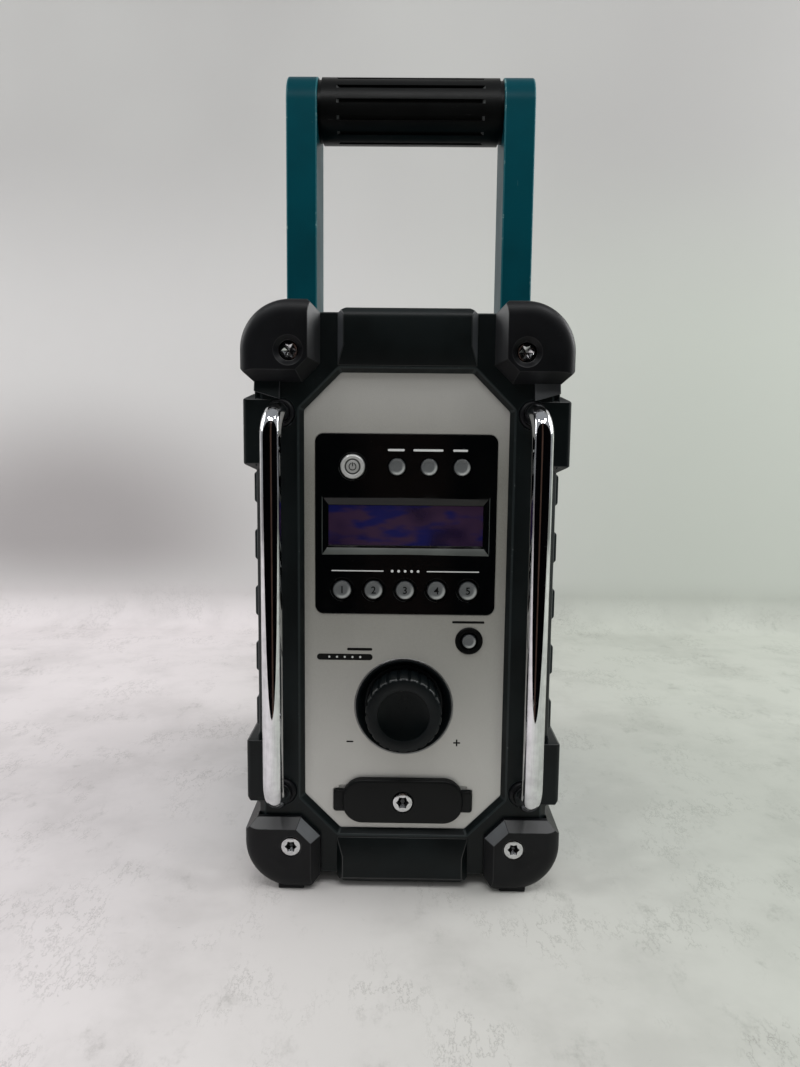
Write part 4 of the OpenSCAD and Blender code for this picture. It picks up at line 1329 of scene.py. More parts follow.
@dataclass
class CornerBumper:
    """Rubber bumper on a corner of a frame, modelled at the front right and mirrored to its other places."""

    level: str
    outer_z: float
    inner_z: float
    screw_z: float
    screw_sunk: float
    screw: SocketScrew
    mouth_radius: float
    mouth_depth: float
    well_radius: float
    dimple_radius: float = 0.0
    inner_x: float = 42.7
    outer_x: float = 81.5
    front_y: float = -126.0
    frame_y: float = -118.0
    tail_y: float = -84.0
    corner_radius: float = 24.5
    corner_cut: float = 6.0
    chamfer: float = 9.0
    facet_width: float = 5.5
    facet_depth: float = 8.0
    rim_width: float = 7.6
    rim_depth: float = 5.0
    corner_steps: int = 18
    rim_steps: int = 8
    edge: float = 0.22
    screw_x: float = 57.5
    frame_x: float = 75.3
    frame_radius: float = 21.0
    frame_z: Pair = (6.6, 295.4)
    frame_reach: float = 60.0
    dimple_shift: Pair = (2.4, 3.4)

    @property
    def up(self) -> float:
        """1 where the outer side is the top, and -1 where it is the bottom."""
        return math.copysign(1.0, self.outer_z - self.inner_z)

    def block(self) -> Workpiece:
        """Shapes the outside: a round corner, cut corners, slanted inner facets and a rounded outer rim.

        Returns:
            The block, still solid.
        """
        piece = Workpiece.box(f"bumper_{self.level}", (self.inner_x, self.front_y, self.inner_z),
                              (self.outer_x, self.tail_y, self.outer_z))
        piece.bevel(edge_along("y", x=self.outer_x, z=self.outer_z), self.corner_radius, self.corner_steps)
        piece.bevel(self.on_outer_rim, self.rim_width, self.rim_steps)
        piece.edit(Element.VERT, lambda co: co.y < self.front_y + self.rim_width + NEAR)
        bpy.ops.transform.resize(value=(1, self.rim_depth / self.rim_width, 1),
                                 center_override=(0, self.front_y, 0))
        piece.done()
        diagonal = math.sqrt(0.5)
        for x, z_line, nx, nz in ((self.inner_x, self.outer_z - self.up * self.corner_cut, -1, self.up),
                                  (self.outer_x, self.inner_z + self.up * self.corner_cut, 1, -self.up),
                                  (self.inner_x + self.chamfer, self.inner_z, -1, -self.up)):
            piece.slice((x, 0, z_line), (nx, 0, nz))
        facets = [((self.inner_x, self.inner_z), (-1.0, 0.0)),
                  ((self.inner_x + self.chamfer, self.inner_z), (-diagonal, -diagonal * self.up)),
                  ((self.outer_x, self.inner_z), (0.0, -self.up))]
        for (x, z_line), (nx, nz) in facets:
            normal = (nx * self.facet_depth, -self.facet_width, nz * self.facet_depth)
            piece.slice((x, self.front_y + self.facet_depth, z_line), normal)
        return piece

    def on_outer_rim(self, start: Vector, end: Vector) -> bool:
        """Tells whether an edge of the front face lies on the outer outline.

        Args:
            start: One end of the edge.
            end: Its other end.

        Returns:
            Whether it lies on the top, the round corner or the outer side.
        """
        radius = self.corner_radius
        centre = Vector((self.outer_x - radius, self.outer_z - self.up * radius))

        def outside(point: Vector) -> bool:
            """Tells whether a point is on it."""
            away = Vector((point.x, point.z)) - centre
            return (abs(away.length - radius) < 0.1 and away.x > -NEAR and away.y * self.up > -NEAR
                    or abs(point.z - self.outer_z) < NEAR or abs(point.x - self.outer_x) < NEAR)

        return edge_at(self.front_y)(start, end) and outside(start) and outside(end)

    def frame_space(self) -> Workpiece:
        """Makes the space that the frame's corner takes up.

        Returns:
            The space.
        """
        edge_z = self.frame_z[1] if self.up > 0 else self.frame_z[0]
        space = Workpiece.box("frame_space", (-self.frame_reach, self.frame_y, edge_z - self.up * self.frame_reach),
                              (self.frame_x, self.tail_y + 5, edge_z))
        return space.bevel(edge_along("y", x=self.frame_x, z=edge_z), self.frame_radius, 12)

    def build(self) -> Workpiece:
        """Shapes the bumper, hollows it for the frame and the screw, and paints highlights on its slanted facets.

        Returns:
            The bumper, with its finishes.
        """
        x, z, front = self.screw_x, self.screw_z, self.front_y
        spread = (self.mouth_radius - self.well_radius) / self.mouth_depth
        tools = [self.frame_space(),
                 Workpiece.rod(self.well_radius, (x, z), front + self.mouth_depth, front - 1, 64,
                               self.mouth_radius + spread),
                 Workpiece.rod(self.well_radius - NEAR, (x, z), front + self.screw_sunk + 2.0, front - 1, 48)]
        if self.dimple_radius:
            tools.append(self.dimple())
        # The rounding gets a faintly lighter rubber and the slanted facets lighter ones, as painted highlights.
        block = self.block().cut(*tools).paint(BUMPER_RUBBER, BUMPER_EDGE, PAINTED_HIGHLIGHT_RUBBER, SHEEN_RUBBER)

        def facet(middle: Vector, n: Vector) -> bool:
            """Tells whether a face is one of the three slanted ones."""
            far = (middle - Vector((x, front, z))).length > self.mouth_radius + 2
            return far and -0.8 < n.y < -0.3 and min(n.x, n.z * self.up) < -0.3

        if self.up > 0:
            return block.dye(lambda middle, n: facet(middle, n) and n.x < -0.3 and abs(n.z) < 0.25, 2)
        block.dye(lambda middle, n: facet(middle, n) and n.z > 0.25, 2)
        return block.dye(lambda middle, n: facet(middle, n) and n.z > 0.25 and n.x < -0.25, 3)

    def dimple(self) -> Workpiece:
        """Makes the shallow hollow on the outer side of the screw, as a wide cone.

        Returns:
            The cone that is cut out.
        """
        shift_x, shift_z = self.dimple_shift
        centre = (self.screw_x + shift_x, self.screw_z + shift_z * self.up)
        r = self.dimple_radius
        return Workpiece.rod(0.6 * r, centre, self.front_y + 0.6, self.front_y - 1, 48, 1.9 * r)

    def dress(self, places: Sequence[tuple[str, Matrix]]) -> None:
        """Puts the bumper and its screw on the four corners of this level.

        Args:
            places: The corners, from four_places.
        """
        rubber = self.build()
        face = (self.screw_x, self.front_y + self.screw_sunk, self.screw_z)
        screw = self.screw.make(f"screw_{self.level}", face)
        for spot, place in places:
            pad = rubber.copy(spot.format(f"{self.level}_bumper_pad"), place)
            pad.soften(self.edge).mount("radio_body", spot.format(f"bumper_{self.level}"))
            screw.copy(spot.format(f"{self.level}_screw"), place).smooth(32).mount("radio_body", "bumper_screws")
        rubber.discard()
        screw.discard()


def four_places(mirror_y: float) -> list[tuple[str, Matrix]]:
    """Lists the four corners of the two frames.

    Args:
        mirror_y: Twice the Y of the plane halfway between the two frames.

    Returns:
        A form for the piece's name and the matrix that brings a front right piece there.
    """
    behind = Matrix.Translation((0, mirror_y, 0)) @ Matrix.Diagonal((1.0, -1.0, 1.0, 1.0))
    ends = (("front", Matrix.Identity(4)), ("rear", behind))
    sides = (("right", Matrix.Identity(4)), ("left", MIRROR_X))
    return [(f"{end}_{{}}_{side}", turn @ flip) for end, turn in ends for side, flip in sides]


@dataclass
class GuardBlock:
    """Block that stands out at the side of a frame, modelled at the front right."""

    level: str
    low_z: float
    high_z: float
    low_slope: float
    high_slope: float
    low_corner: Pair
    high_corner: Pair
    inner_x: float = 66.0
    outer_x: float = 81.4
    front_y: float = -118.15
    back_y: float = -88.0
    slope_depth: float = 2.6
    side_radius: float = 2.6
    edge: float = 0.3

    def build(self) -> Workpiece:
        """Shapes the block: a round outer edge, sloped front edges and cut outer corners.

        Returns:
            The block, with its finishes.
        """
        piece = Workpiece.box(f"guard_{self.level}", (self.inner_x, self.front_y, self.low_z),
                              (self.outer_x, self.back_y, self.high_z))
        piece.bevel(edge_along("z", x=self.outer_x, y=self.front_y), self.side_radius, 6)
        ends = ((self.high_z, 1, self.high_slope, self.high_corner),
                (self.low_z, -1, self.low_slope, self.low_corner))
        for z, way, slope, (width, height) in ends:
            piece.slice((0, self.front_y, z - way * slope), (0, -slope, way * self.slope_depth))
            piece.slice((self.outer_x, 0, z - way * height), (height, 0, way * width))
        # The roundings and the sloped front ends get the lighter plastic, as a painted highlight.
        return piece.paint(FRAME_PLASTIC, PAINTED_HIGHLIGHT_PLASTIC).dye(lambda middle, n: n.y < -0.2 and abs(n.z) > 0.2)


@dataclass
class ShoulderLug:
    """Sloped plate between the upper bumper and the guard block, modelled at the front right."""

    x: Pair = (62.6, 75.4)
    low_z: Pair = (253.2, 256.9)
    high_z: float = 263.5
    frame_y: float = -118.0
    stands_out: float = 2.6
    back_y: float = -110.0
    edge: float = 0.25

    def build(self) -> Workpiece:
        """Shapes the plate, whose lower edge rises outwards.

        Returns:
            The plate, with its finishes.
        """
        low = self.low_z[0] - 1
        piece = Workpiece.box("shoulder_lug", (self.x[0], self.frame_y - self.stands_out, low),
                              (self.x[1], self.back_y, self.high_z))
        piece.slice((self.x[0], 0, self.low_z[0]), (self.low_z[1] - self.low_z[0], 0, self.x[0] - self.x[1]))
        piece.slice((0, self.frame_y, self.high_z), (0, -(self.high_z - low), self.stands_out))
        # Its roundings get the pale plastic, as a painted sheen.
        return piece.paint(FRAME_PLASTIC, SHEEN_PLASTIC)


@dataclass
class CentreBlock:
    """Raised block in the middle of a frame's top or bottom edge, modelled on the front."""

    level: str
    outer_z: float
    face_outer_z: float
    face_inner_z: float
    inner_z: float
    rounded: bool
    half_base: float = 34.4
    half_face: float = 31.2
    half_top: float = 30.4
    corner_drop: float = 2.9
    frame_y: float = -118.0
    stands_out: float = 3.5
    back_y: float = -111.5
    edge: float = 0.35

    def build(self) -> Workpiece:
        """Shapes the block: sloped ends, a long slope towards the opening and a rounded or cut outer edge.

        Returns:
            The block, with its finishes.
        """
        front = self.frame_y - self.stands_out
        up = math.copysign(1.0, self.outer_z - self.inner_z)
        piece = Workpiece.box(f"centre_block_{self.level}", (-self.half_base, front, self.inner_z),
                              (self.half_base, self.back_y, self.outer_z))
        piece.bevel(edge_along("x", y=front, z=self.outer_z), abs(self.outer_z - self.face_outer_z),
                    8 if self.rounded else 1)
        long_slope = abs(self.face_inner_z - self.inner_z)
        piece.slice((0, front, self.face_inner_z), (0, -long_slope, -up * self.stands_out))
        for side in (-1, 1):
            piece.slice((side * self.half_face, front, 0),
                        (side * self.stands_out, self.half_face - self.half_base, 0))
            piece.slice((side * self.half_top, 0, self.outer_z),
                        (side * self.corner_drop, 0, up * (self.half_base - self.half_top)))
        # Roundings get the lighter plastic and the top block's ends the pale one, as painted highlights.
        return piece.paint(FRAME_PLASTIC, PAINTED_HIGHLIGHT_PLASTIC, SHEEN_PLASTIC).dye(
            lambda middle, n: abs(n.x) > 0.3 and n.y < -0.3, 2 if self.rounded else 0)


@dataclass
class ImpactFrames:
    """The two frames with their bumpers, guards and centre blocks, the roll bars, their grommets and the feet."""

    edge: float = 0.7
    frame_x: float = 75.3
    frame_y: float = -118.0
    mirror_y: float = 15.0
    clearance: float = 8.0
    half_centre: float = 35.0
    ring_y: float = -110.0
    guard_x: float = 84.0
    guard_y: float = -87.0
    end_z: Pair = (0.0, 301.0)
    centre_z: Pair = (30.0, 265.0)
    ring_z: Pair = (6.6, 295.4)
    guard_spaces: tuple[Pair, ...] = ((43.5, 83.5), (218.5, 259.0))
    bumpers: tuple[CornerBumper, ...] = (
        CornerBumper("upper", outer_z=300.9, inner_z=261.5, screw_z=276.2, screw_sunk=3.1,
                     screw=SocketScrew(4.4, 3.7, 1.7, 0.1, 0.7, shaded=False), mouth_radius=7.2,
                     mouth_depth=2.2, well_radius=5.0),
        CornerBumper("lower", outer_z=1.0, inner_z=38.2, screw_z=24.4, screw_sunk=0.35,
                     screw=SocketScrew(5.0, 3.2, 1.9, 0.3, 0.74), mouth_radius=5.6, mouth_depth=0.5,
                     well_radius=5.35, dimple_radius=5.4, chamfer=10.2, facet_width=4.6, facet_depth=5.4),
    )
    guards: tuple[GuardBlock, ...] = (
        GuardBlock("upper", 217.8, 255.7, 3.6, 2.8, (7.0, 3.6), (5.2, 2.7)),
        GuardBlock("lower", 44.9, 78.7, 0.6, 0.5, (2.4, 2.5), (1.2, 1.2)),
    )
    centre_blocks: tuple[CentreBlock, ...] = (
        CentreBlock("top", 297.8, 292.4, 279.3, 269.8, True),
        CentreBlock("bottom", 2.0, 5.4, 17.0, 26.3, False),
    )
    cuts: tuple[Cut, ...] = (("X", 0.0), ("Z", 24.4), ("Z", 51.0), ("Z", 57.0), ("Z", 150.0), ("Z", 230.0),
                             ("Z", 246.5), ("Z", 276.2))
    foot_low: Place = (51.0, -123.0, 0.0)
    foot_high: Place = (64.5, -97.0, 3.2)

    def spaces(self) -> list[Workpiece]:
        """Makes the spaces in front of, above, below and beside the plain ring of the front frame.

        Returns:
            The spaces.
        """
        half, front = self.half_centre, self.frame_y - self.clearance
        found = []
        for back, inner_ends in ((self.frame_y, self.centre_z), (self.ring_y, self.ring_z)):
            for outer, inner in zip(self.end_z, inner_ends):
                found.append(Workpiece.box("space", (-half, front, outer), (half, back, inner)))
        for low, high in self.guard_spaces:
            for side in (-1, 1):
                found.append(Workpiece.box("space", (side * self.frame_x, front, low),
                                           (side * self.guard_x, self.guard_y, high)))
        return found

    def ring(self, node: str, place: Matrix) -> None:
        """Frees a frame's ring of its plain blocks, rounds its edges and mounts it.

        Args:
            node: The frame's node.
            place: The matrix that brings a front piece there.
        """
        tools = []
        for space in self.spaces():
            tools.append(space.copy("space", place))
            space.discard()
        shell = Workpiece.from_node(node).cut(*tools).level().part_at(*self.cuts)
        shell.paint(FRAME_PLASTIC, FRAME_EDGE).soften(self.edge).mount("radio_body", node)

    def build(self) -> None:
        """Builds and dresses all of it."""
        places = four_places(self.mirror_y)
        ends = {"front_frame": places[0][1], "rear_frame": places[2][1]}
        for node, place in ends.items():
            self.ring(node, place)
        for bumper in self.bumpers:
            bumper.dress(places)
        lug = ShoulderLug()
        blocks = [(block.build(), f"{block.level}_guard", block.edge) for block in self.guards]
        for piece, title, edge in (*blocks, (lug.build(), "shoulder_lug", lug.edge)):
            for spot, place in places:
                made = piece.copy(spot.format(title), place).soften(edge)
                # Only the right-hand lugs get the pale plastic on their fronts: painted light from the right.
                if title == "shoulder_lug" and "right" in spot:
                    made.dye(lambda middle, n: abs(n.y) > 0.5)
                made.mount("radio_body")
            piece.discard()
        for block in self.centre_blocks:
            piece = block.build()
            for node, place in ends.items():
                piece.copy(f"{node}_{block.level}_block", place).soften(block.edge, 3).mount("radio_body")
            piece.discard()
        for node in ("left_roll_bar", "right_roll_bar"):
            finish_node(node, CHROME)
        refine("roll_bar_grommets", BUMPER_RUBBER, 0.35)
        foot = Workpiece.box("foot", self.foot_low, self.foot_high).paint(BUMPER_RUBBER)
        for spot, place in places:
            foot.copy(spot.format("foot_pad"), place).soften(0.6, 3).mount("radio_body", "rubber_feet")
        foot.discard()


@dataclass
class Marks:
    """Printed marks: plain lines, dots, minus, plus and the pill beside the knob."""

    panel_y: float = -114.0
    display_y: float = -114.4
    thickness: float = 0.06
    line_z: float = 167.3
    line_x: Pair = (11.0, 37.6)
    line_height: float = 0.55
    dot_pitch: float = 3.3
    dot_radius: float = 0.7
    label_z: float = 228.7
    label_x: tuple[float, float, float] = (-5.1, 11.0, 27.1)
    label_width: tuple[float, float, float] = (8.4, 15.0, 7.4)
    label_height: float = 1.1
    knob_mark_x: float = 27.9
    knob_mark_z: float = 76.8
    mark_size: float = 3.7
    mark_half_line: float = 0.4
    pill_low: Pair = (-45.1, 120.5)
    pill_high: Pair = (-16.3, 123.8)
    pill_dot_pitch: float = 4.0
    pill_dot_radius: float = 0.55
    knob_label: tuple[Pair, Pair] = ((-29.5, 125.6), (-16.5, 127.0))
    tune_label: tuple[Pair, Pair] = ((24.4, 140.5), (41.0, 141.7))

    def bar(self, name: str, low: Pair, high: Pair, y: float,
            round_share: float = 0.45) -> Workpiece:
        """Makes a thin printed bar with rounded ends.

        Args:
            name: The piece's name.
            low: X and Z of one corner.
            high: X and Z of the opposite corner.
            y: The surface that it is printed on.
            round_share: Radius of its corners as a share of its shorter side.

        Returns:
            The bar.
        """
        piece = Workpiece.box(name, (low[0], y - self.thickness, low[1]), (high[0], y + 0.1, high[1]))
        short = min(abs(high[0] - low[0]), abs(high[1] - low[1]))
        return piece.bevel(edge_along("y"), short * round_share, 4)

    def dots(self, name: str, x: float, z: float, pitch: float, radius: float, y: float) -> list[Workpiece]:
        """Makes a row of five thin printed dots.

        Args:
            name: The name of each.
            x: X of the middle one.
            z: Z of the row.
            pitch: The distance between two.
            radius: Their radius.
            y: The surface that they are printed on.

        Returns:
            The dots.
        """
        profile = [(radius, -0.1), (radius, 0.6 * self.thickness), (radius * 0.9, self.thickness)]
        return [Workpiece.turned(name, profile, (x + pitch * i, y, z), 20) for i in range(-2, 3)]

    def build(self) -> None:
        """Prints all marks."""
        self.on_display()
        self.on_panel()

    def on_display(self) -> None:
        """Prints the lines and dots of the display panel."""
        y, z, half = self.display_y, self.line_z, self.line_height / 2
        near, far = self.line_x
        parts = [self.bar("display_print", (side * near, z - half), (side * far, z + half), y) for side in (-1, 1)]
        parts += self.dots("dot", 0, z, self.dot_pitch, self.dot_radius, y)
        z, half = self.label_z, self.label_height / 2
        parts += [self.bar("label", (x - width / 2, z - half), (x + width / 2, z + half), y)
                  for x, width in zip(self.label_x, self.label_width)]
        parts[0].join(*parts[1:]).paint(WHITE_INK).smooth().mount("radio_body")

    def on_panel(self) -> None:
        """Prints the marks of the silver panel."""
        x, y, z = self.knob_mark_x, self.panel_y, self.knob_mark_z
        half, thin = self.mark_size / 2, self.mark_half_line
        parts = [self.bar("panel_print", (-x - half, z - thin), (-x + half, z + thin), y),
                 self.bar("plus", (x - half, z - thin), (x + half, z + thin), y),
                 self.bar("plus", (x - thin, z - half), (x + thin, z - thin), y, 0.3),
                 self.bar("plus", (x - thin, z + thin), (x + thin, z + half), y, 0.3),
                 self.bar("pill", self.pill_low, self.pill_high, y, 0.49),
                 self.bar("label", *self.knob_label, y),
                 self.bar("label", *self.tune_label, y)]
        parts[0].join(*parts[1:]).paint(DARK_INK).smooth().mount("radio_body")
        x, z = ((low + high) / 2 for low, high in zip(self.pill_low, self.pill_high))
        dots = self.dots("pill_print", x, z, self.pill_dot_pitch, self.pill_dot_radius, y - self.thickness)
        dots[0].join(*dots[1:]).paint(WHITE_INK).smooth().mount("radio_body")


@dataclass
class Keys:
    """The round push buttons, each on its own body."""

    flange_out: float = 1.0
    flange_front: float = 109.9
    flange_back: float = 108.9
    stem_end: float = 107.2
    stem_radius: float = 2.0
    numeral_size: float = 5.2
    preset_gap: float = 0.35
    turned_key: str = "power_button"
    menu_keys: tuple[str, ...] = ("band_button", "menu_button", "info_button")
    tune_key: str = "tune_button"
    presets: int = 5
    numeral_depth: float = 0.46
    turned_depth: float = 0.12
    turned_face: Profile = ((1, 0.9), (0.97, 0.45), (0.93, 0.15), (0.88, 0.0), (0.7, 0.06), (0.67, 0.2),
                            (0.64, 0.55), (0.6, 0.6), (0.57, 0.5), (0.53, 0.2), (0.5, 0.12), (0, 0.12))
    smoked_face: Profile = ((1, 0.9), (0.985, 0.55), (0.95, 0.22), (0.9, 0.05), (0.85, 0.0), (0.8, 0.04),
                            (0.74, 0.2), (0.66, 0.34), (0.5, 0.46), (0.3, 0.52), (0, 0.54))
    symbol: Profile = ((1.95, -0.15), (1.95, 0.05), (1.5, 0.05), (1.5, -0.02), (1.45, -0.05))

    def round_key(self, node: str, face: Profile, finish: Callable[[Place, float], Finish]) -> Vector:
        """Turns a key and mounts it.

        Args:
            node: The frame node that it stands for.
            face: Share of the radius and depth below the front of each step of its face, outermost first.
            finish: Makes the finish from the key's middle and radius.

        Returns:
            The middle of its front.
        """
        low, high = extent(node)
        middle = (low + high) / 2
        gap = self.preset_gap if node.startswith("preset") else 0.0
        radius = (high.x - low.x) / 2 - self.flange_out - gap
        front = -low.y
        profile = [(self.stem_radius, self.stem_end), (self.stem_radius, self.flange_back),
                   (radius + self.flange_out, self.flange_back), (radius + self.flange_out, self.flange_front),
                   (radius, self.flange_front)] + [(radius * share, front - depth) for share, depth in face]
        origin = (middle.x, 0.0, middle.z)
        piece = Workpiece.turned(f"{node}_cap", profile, origin, 48)
        piece.paint(finish(origin, radius)).smooth(28).mount(body_of(node), node)
        return Vector((middle.x, -front, middle.z))

    def power(self) -> None:
        """Makes the turned power key with its ring-and-bar symbol."""
        front = self.round_key(self.turned_key, self.turned_face, lambda centre, r: TurnedMetal(
            "turned_silver", "silver_button", rgb("d6d7d5"), centre, (r * 0.54, r * 0.64)))
        x, y, z = front.x, front.y + self.turned_depth, front.z
        ring = Workpiece.turned("power_symbol", self.symbol, (x, y, z), 32)
        gap = Workpiece.box("gap", (x - 0.55, y - 1, z + 0.4), (x + 0.55, y + 1, z + 3))
        bar = Workpiece.box("bar", (x - 0.24, y - 0.05, z + 0.1), (x + 0.24, y + 0.05, z + 2.1))
        ring.cut(gap).join(bar).paint(KEY_INK).smooth().mount(body_of(self.turned_key))

    def smoked(self, node: str) -> Vector:
        """Makes a smoked key with a rounded rim and a shallow dome inside it, and returns its front's middle."""
        # The third colour is each key's painted highlight crescent.
        return self.round_key(node, self.smoked_face, lambda centre, r: SmokedKey(
            f"smoked_{node}", "button_grey", rgb("25282a"), rgb("5c5f60"), rgb("9b9e9c"), centre, r))

    def build(self) -> None:
        """Builds and dresses all keys."""
        self.power()
        for node in (*self.menu_keys, self.tune_key):
            self.smoked(node)
        for number in range(1, self.presets + 1):
            node = f"preset_button_{number}"
            front = self.smoked(node)
            place = (front.x, front.y + self.numeral_depth, front.z)
            numeral = Workpiece.lettering(f"preset_number_{number}", str(number), self.numeral_size, place)
            numeral.paint(KEY_INK).mount(body_of(node))


@dataclass
class FrontPanel:
    """Silver panel with the glossy display panel, its window and the ring of the tune key."""

    edge: float = 0.35
    display_edge: float = 0.22
    panel_y: float = -114.0
    filler_depth: float = 1.4
    fillers: tuple[tuple[float, float, float, float], ...] = (
        (36.45, 37.6, 38.5, 53.5), (33.6, 37.0, 51.15, 53.5), (33.6, 37.0, 38.5, 39.35))
    panel_cuts: tuple[Cut, ...] = (("X", 0.0), ("Z", 46.0), ("Z", 96.0), ("Z", 131.4), ("Z", 190.0))
    display_cuts: tuple[Cut, ...] = (("X", 0.0), ("Z", 157.6), ("Z", 178.9), ("Z", 190.0), ("Z", 220.3))
    opening_x: Pair = (41.6, 43.5)
    opening_z: Pair = (174.0, 207.0)
    lit_z: Pair = (175.5, 178.9)
    key_rows: tuple[Pair, ...] = ((148.0, 168.0), (210.0, 234.0))

    def build(self) -> None:
        """Builds and dresses all of it."""
        panel = Workpiece.from_node("control_panel")
        back = self.panel_y + self.filler_depth
        for side in (-1, 1):
            for near, far, low, high in self.fillers:
                panel.fuse(Workpiece.box("filler", (side * near, self.panel_y, low), (side * far, back, high)))
        panel.level().part_at(*self.panel_cuts).paint(SILVER_LACQUER).soften(self.edge)
        panel.mount("radio_body", "control_panel")
        self.display()
        refine("tune_button_ring", RING_BLACK, 0.15)
        finish_node("lcd_window", LCD_GLASS)
        finish_node("lcd_module", ZINC)

    def display(self) -> None:
        """Builds the display panel, with painted highlights on the side facets of its opening, the lower facet of its
        window and one side of each key hole.
        """
        display = Workpiece.from_node("display_panel").part_at(*self.display_cuts)
        display.paint(GLOSS_BLACK).soften(self.display_edge).paint(FACET_REFLECTION, HOLE_EDGE, OPENING_EDGE)
        near, far = self.opening_x
        bottom, top = self.opening_z
        # Painted highlights: side facets of the opening, the window's lower facet, and one side of each key hole.
        display.dye(lambda middle, n: 0.05 < abs(n.x) < 0.9 and n.y < -0.2 and abs(n.z) < 0.3
                    and bottom < middle.z < top and near < abs(middle.x) < far, 3)
        display.dye(lambda middle, n: n.z > 0.25 and n.y < -0.3 and abs(middle.x) < far
                    and self.lit_z[0] < middle.z < self.lit_z[1])
        display.dye(lambda middle, n: n.z > 0.1 and n.x > -0.1 and -0.9 < n.y < -0.15 and abs(middle.x) < far
                    and any(low < middle.z < high for low, high in self.key_rows), 2)
        display.mount(body_of("display_panel"), "display_panel")


@dataclass
class VolumeKnob:
    """Fluted knob with a dimple, in its dished ring."""

    axis_z: float = 96.0
    radius: float = 19.4
    front: float = 128.5
    back: float = 110.6
    flutes: int = 22
    groove_radius: float = 0.95
    skirt: float = 2.4
    hub_radius: float = 6.5
    bore_radius: float = 3.05
    dish_radius: float = 25.0
    dish_bore: float = 6.98
    line_width: float = 0.75
    panel: float = 114.0

    def build(self) -> None:
        """Builds and dresses the knob and the dish."""
        self.knob()
        self.dish()

    def knob(self) -> None:
        """Turns the knob, cuts its flutes and its bore, and dresses its dimple and its lit upper rim."""
        r, f = self.radius, self.front
        centre = (0, self.axis_z)
        profile = [(self.hub_radius, self.back), (self.hub_radius, f - 7), (r - self.skirt, f - 7),
                   (r - self.skirt, self.back), (r, self.back), (r, f - 1.7), (r - 0.12, f - 1.1), (r - 0.5, f - 0.5),
                   (r - 1.1, f - 0.12), (r - 1.8, f), (r * 0.69, f), (r * 0.68, f - 0.08), (r * 0.67, f - 0.5),
                   (r * 0.62, f - 1.0), (r * 0.52, f - 1.5), (r * 0.4, f - 1.9), (r * 0.25, f - 2.2), (0, f - 2.35)]
        knob = Workpiece.turned("knob_grip", profile, (0, 0, self.axis_z), 110)
        grooves = []
        for i in range(self.flutes):
            turn = math.tau * (i + 0.5) / self.flutes
            x, z = (r + 0.1) * math.sin(turn), self.axis_z + (r + 0.1) * math.cos(turn)
            grooves.append(Workpiece.rod(self.groove_radius, (x, z), -self.back + 1, -f - 1, 10))
        bore = Workpiece.rod(self.bore_radius, centre, -f + 6, -self.back + 1, 32)
        knob.cut(grooves[0].join(*grooves[1:]), bore)
        knob.paint(KNOB_BLACK, KNOB_HOLLOW, PAINTED_HIGHLIGHT_PLASTIC)
        knob.dye(lambda middle, n: middle.y < 3 - f and math.hypot(middle.x, middle.z - self.axis_z) < r * 0.675)
        # The upper part of the rim gets the lighter plastic, as a painted highlight.
        knob.dye(lambda middle, n: middle.y < 1.4 - f and middle.z > self.axis_z + 0.35 * r
                 and math.hypot(middle.x, middle.z - self.axis_z) > r - 0.8, 2)
        knob.smooth(32).mount("knob", "volume_knob")

    def dish(self) -> None:
        """Turns the dished ring and the thin silver line round it."""
        r, d, p = self.radius, self.dish_radius, self.panel
        origin, centre = (0, 0, self.axis_z), (0, self.axis_z)
        profile = [(7, p - 7), (d - 0.9, p - 7), (d - 0.9, p), (d, p), (d, p + 0.35), (d - 0.15, p + 0.7),
                   (d - 0.5, p + 0.85), (d - 0.9, p + 0.75), (d - 1.3, p + 0.45), (r + 2.2, p - 3.4),
                   (r + 1.5, p - 4.7), (r + 1, p - 5.2), (7, p - 5.2), (7, p - 6.6)]
        ring = Workpiece.turned("knob_dish_ring", profile, origin, 96)
        ring.cut(Workpiece.rod(self.dish_bore, centre, -p, -p + 9))
        ring.paint(KNOB_BLACK).smooth(28).mount("radio_body", "knob_dish")
        w = self.line_width
        line = [(d - 0.05, p - 0.3), (d + w, p - 0.3), (d + w, p + 0.1), (d + w - 0.15, p + 0.25),
                (d - 0.05, p + 0.25)]
        rim = Workpiece.turned("knob_dish_line", line, origin, 96)
        rim.cut(Workpiece.rod(d - NEAR, centre, -p - 1, -p + 1, 96))
        rim.paint(RIM_SILVER).smooth(28).mount("radio_body")


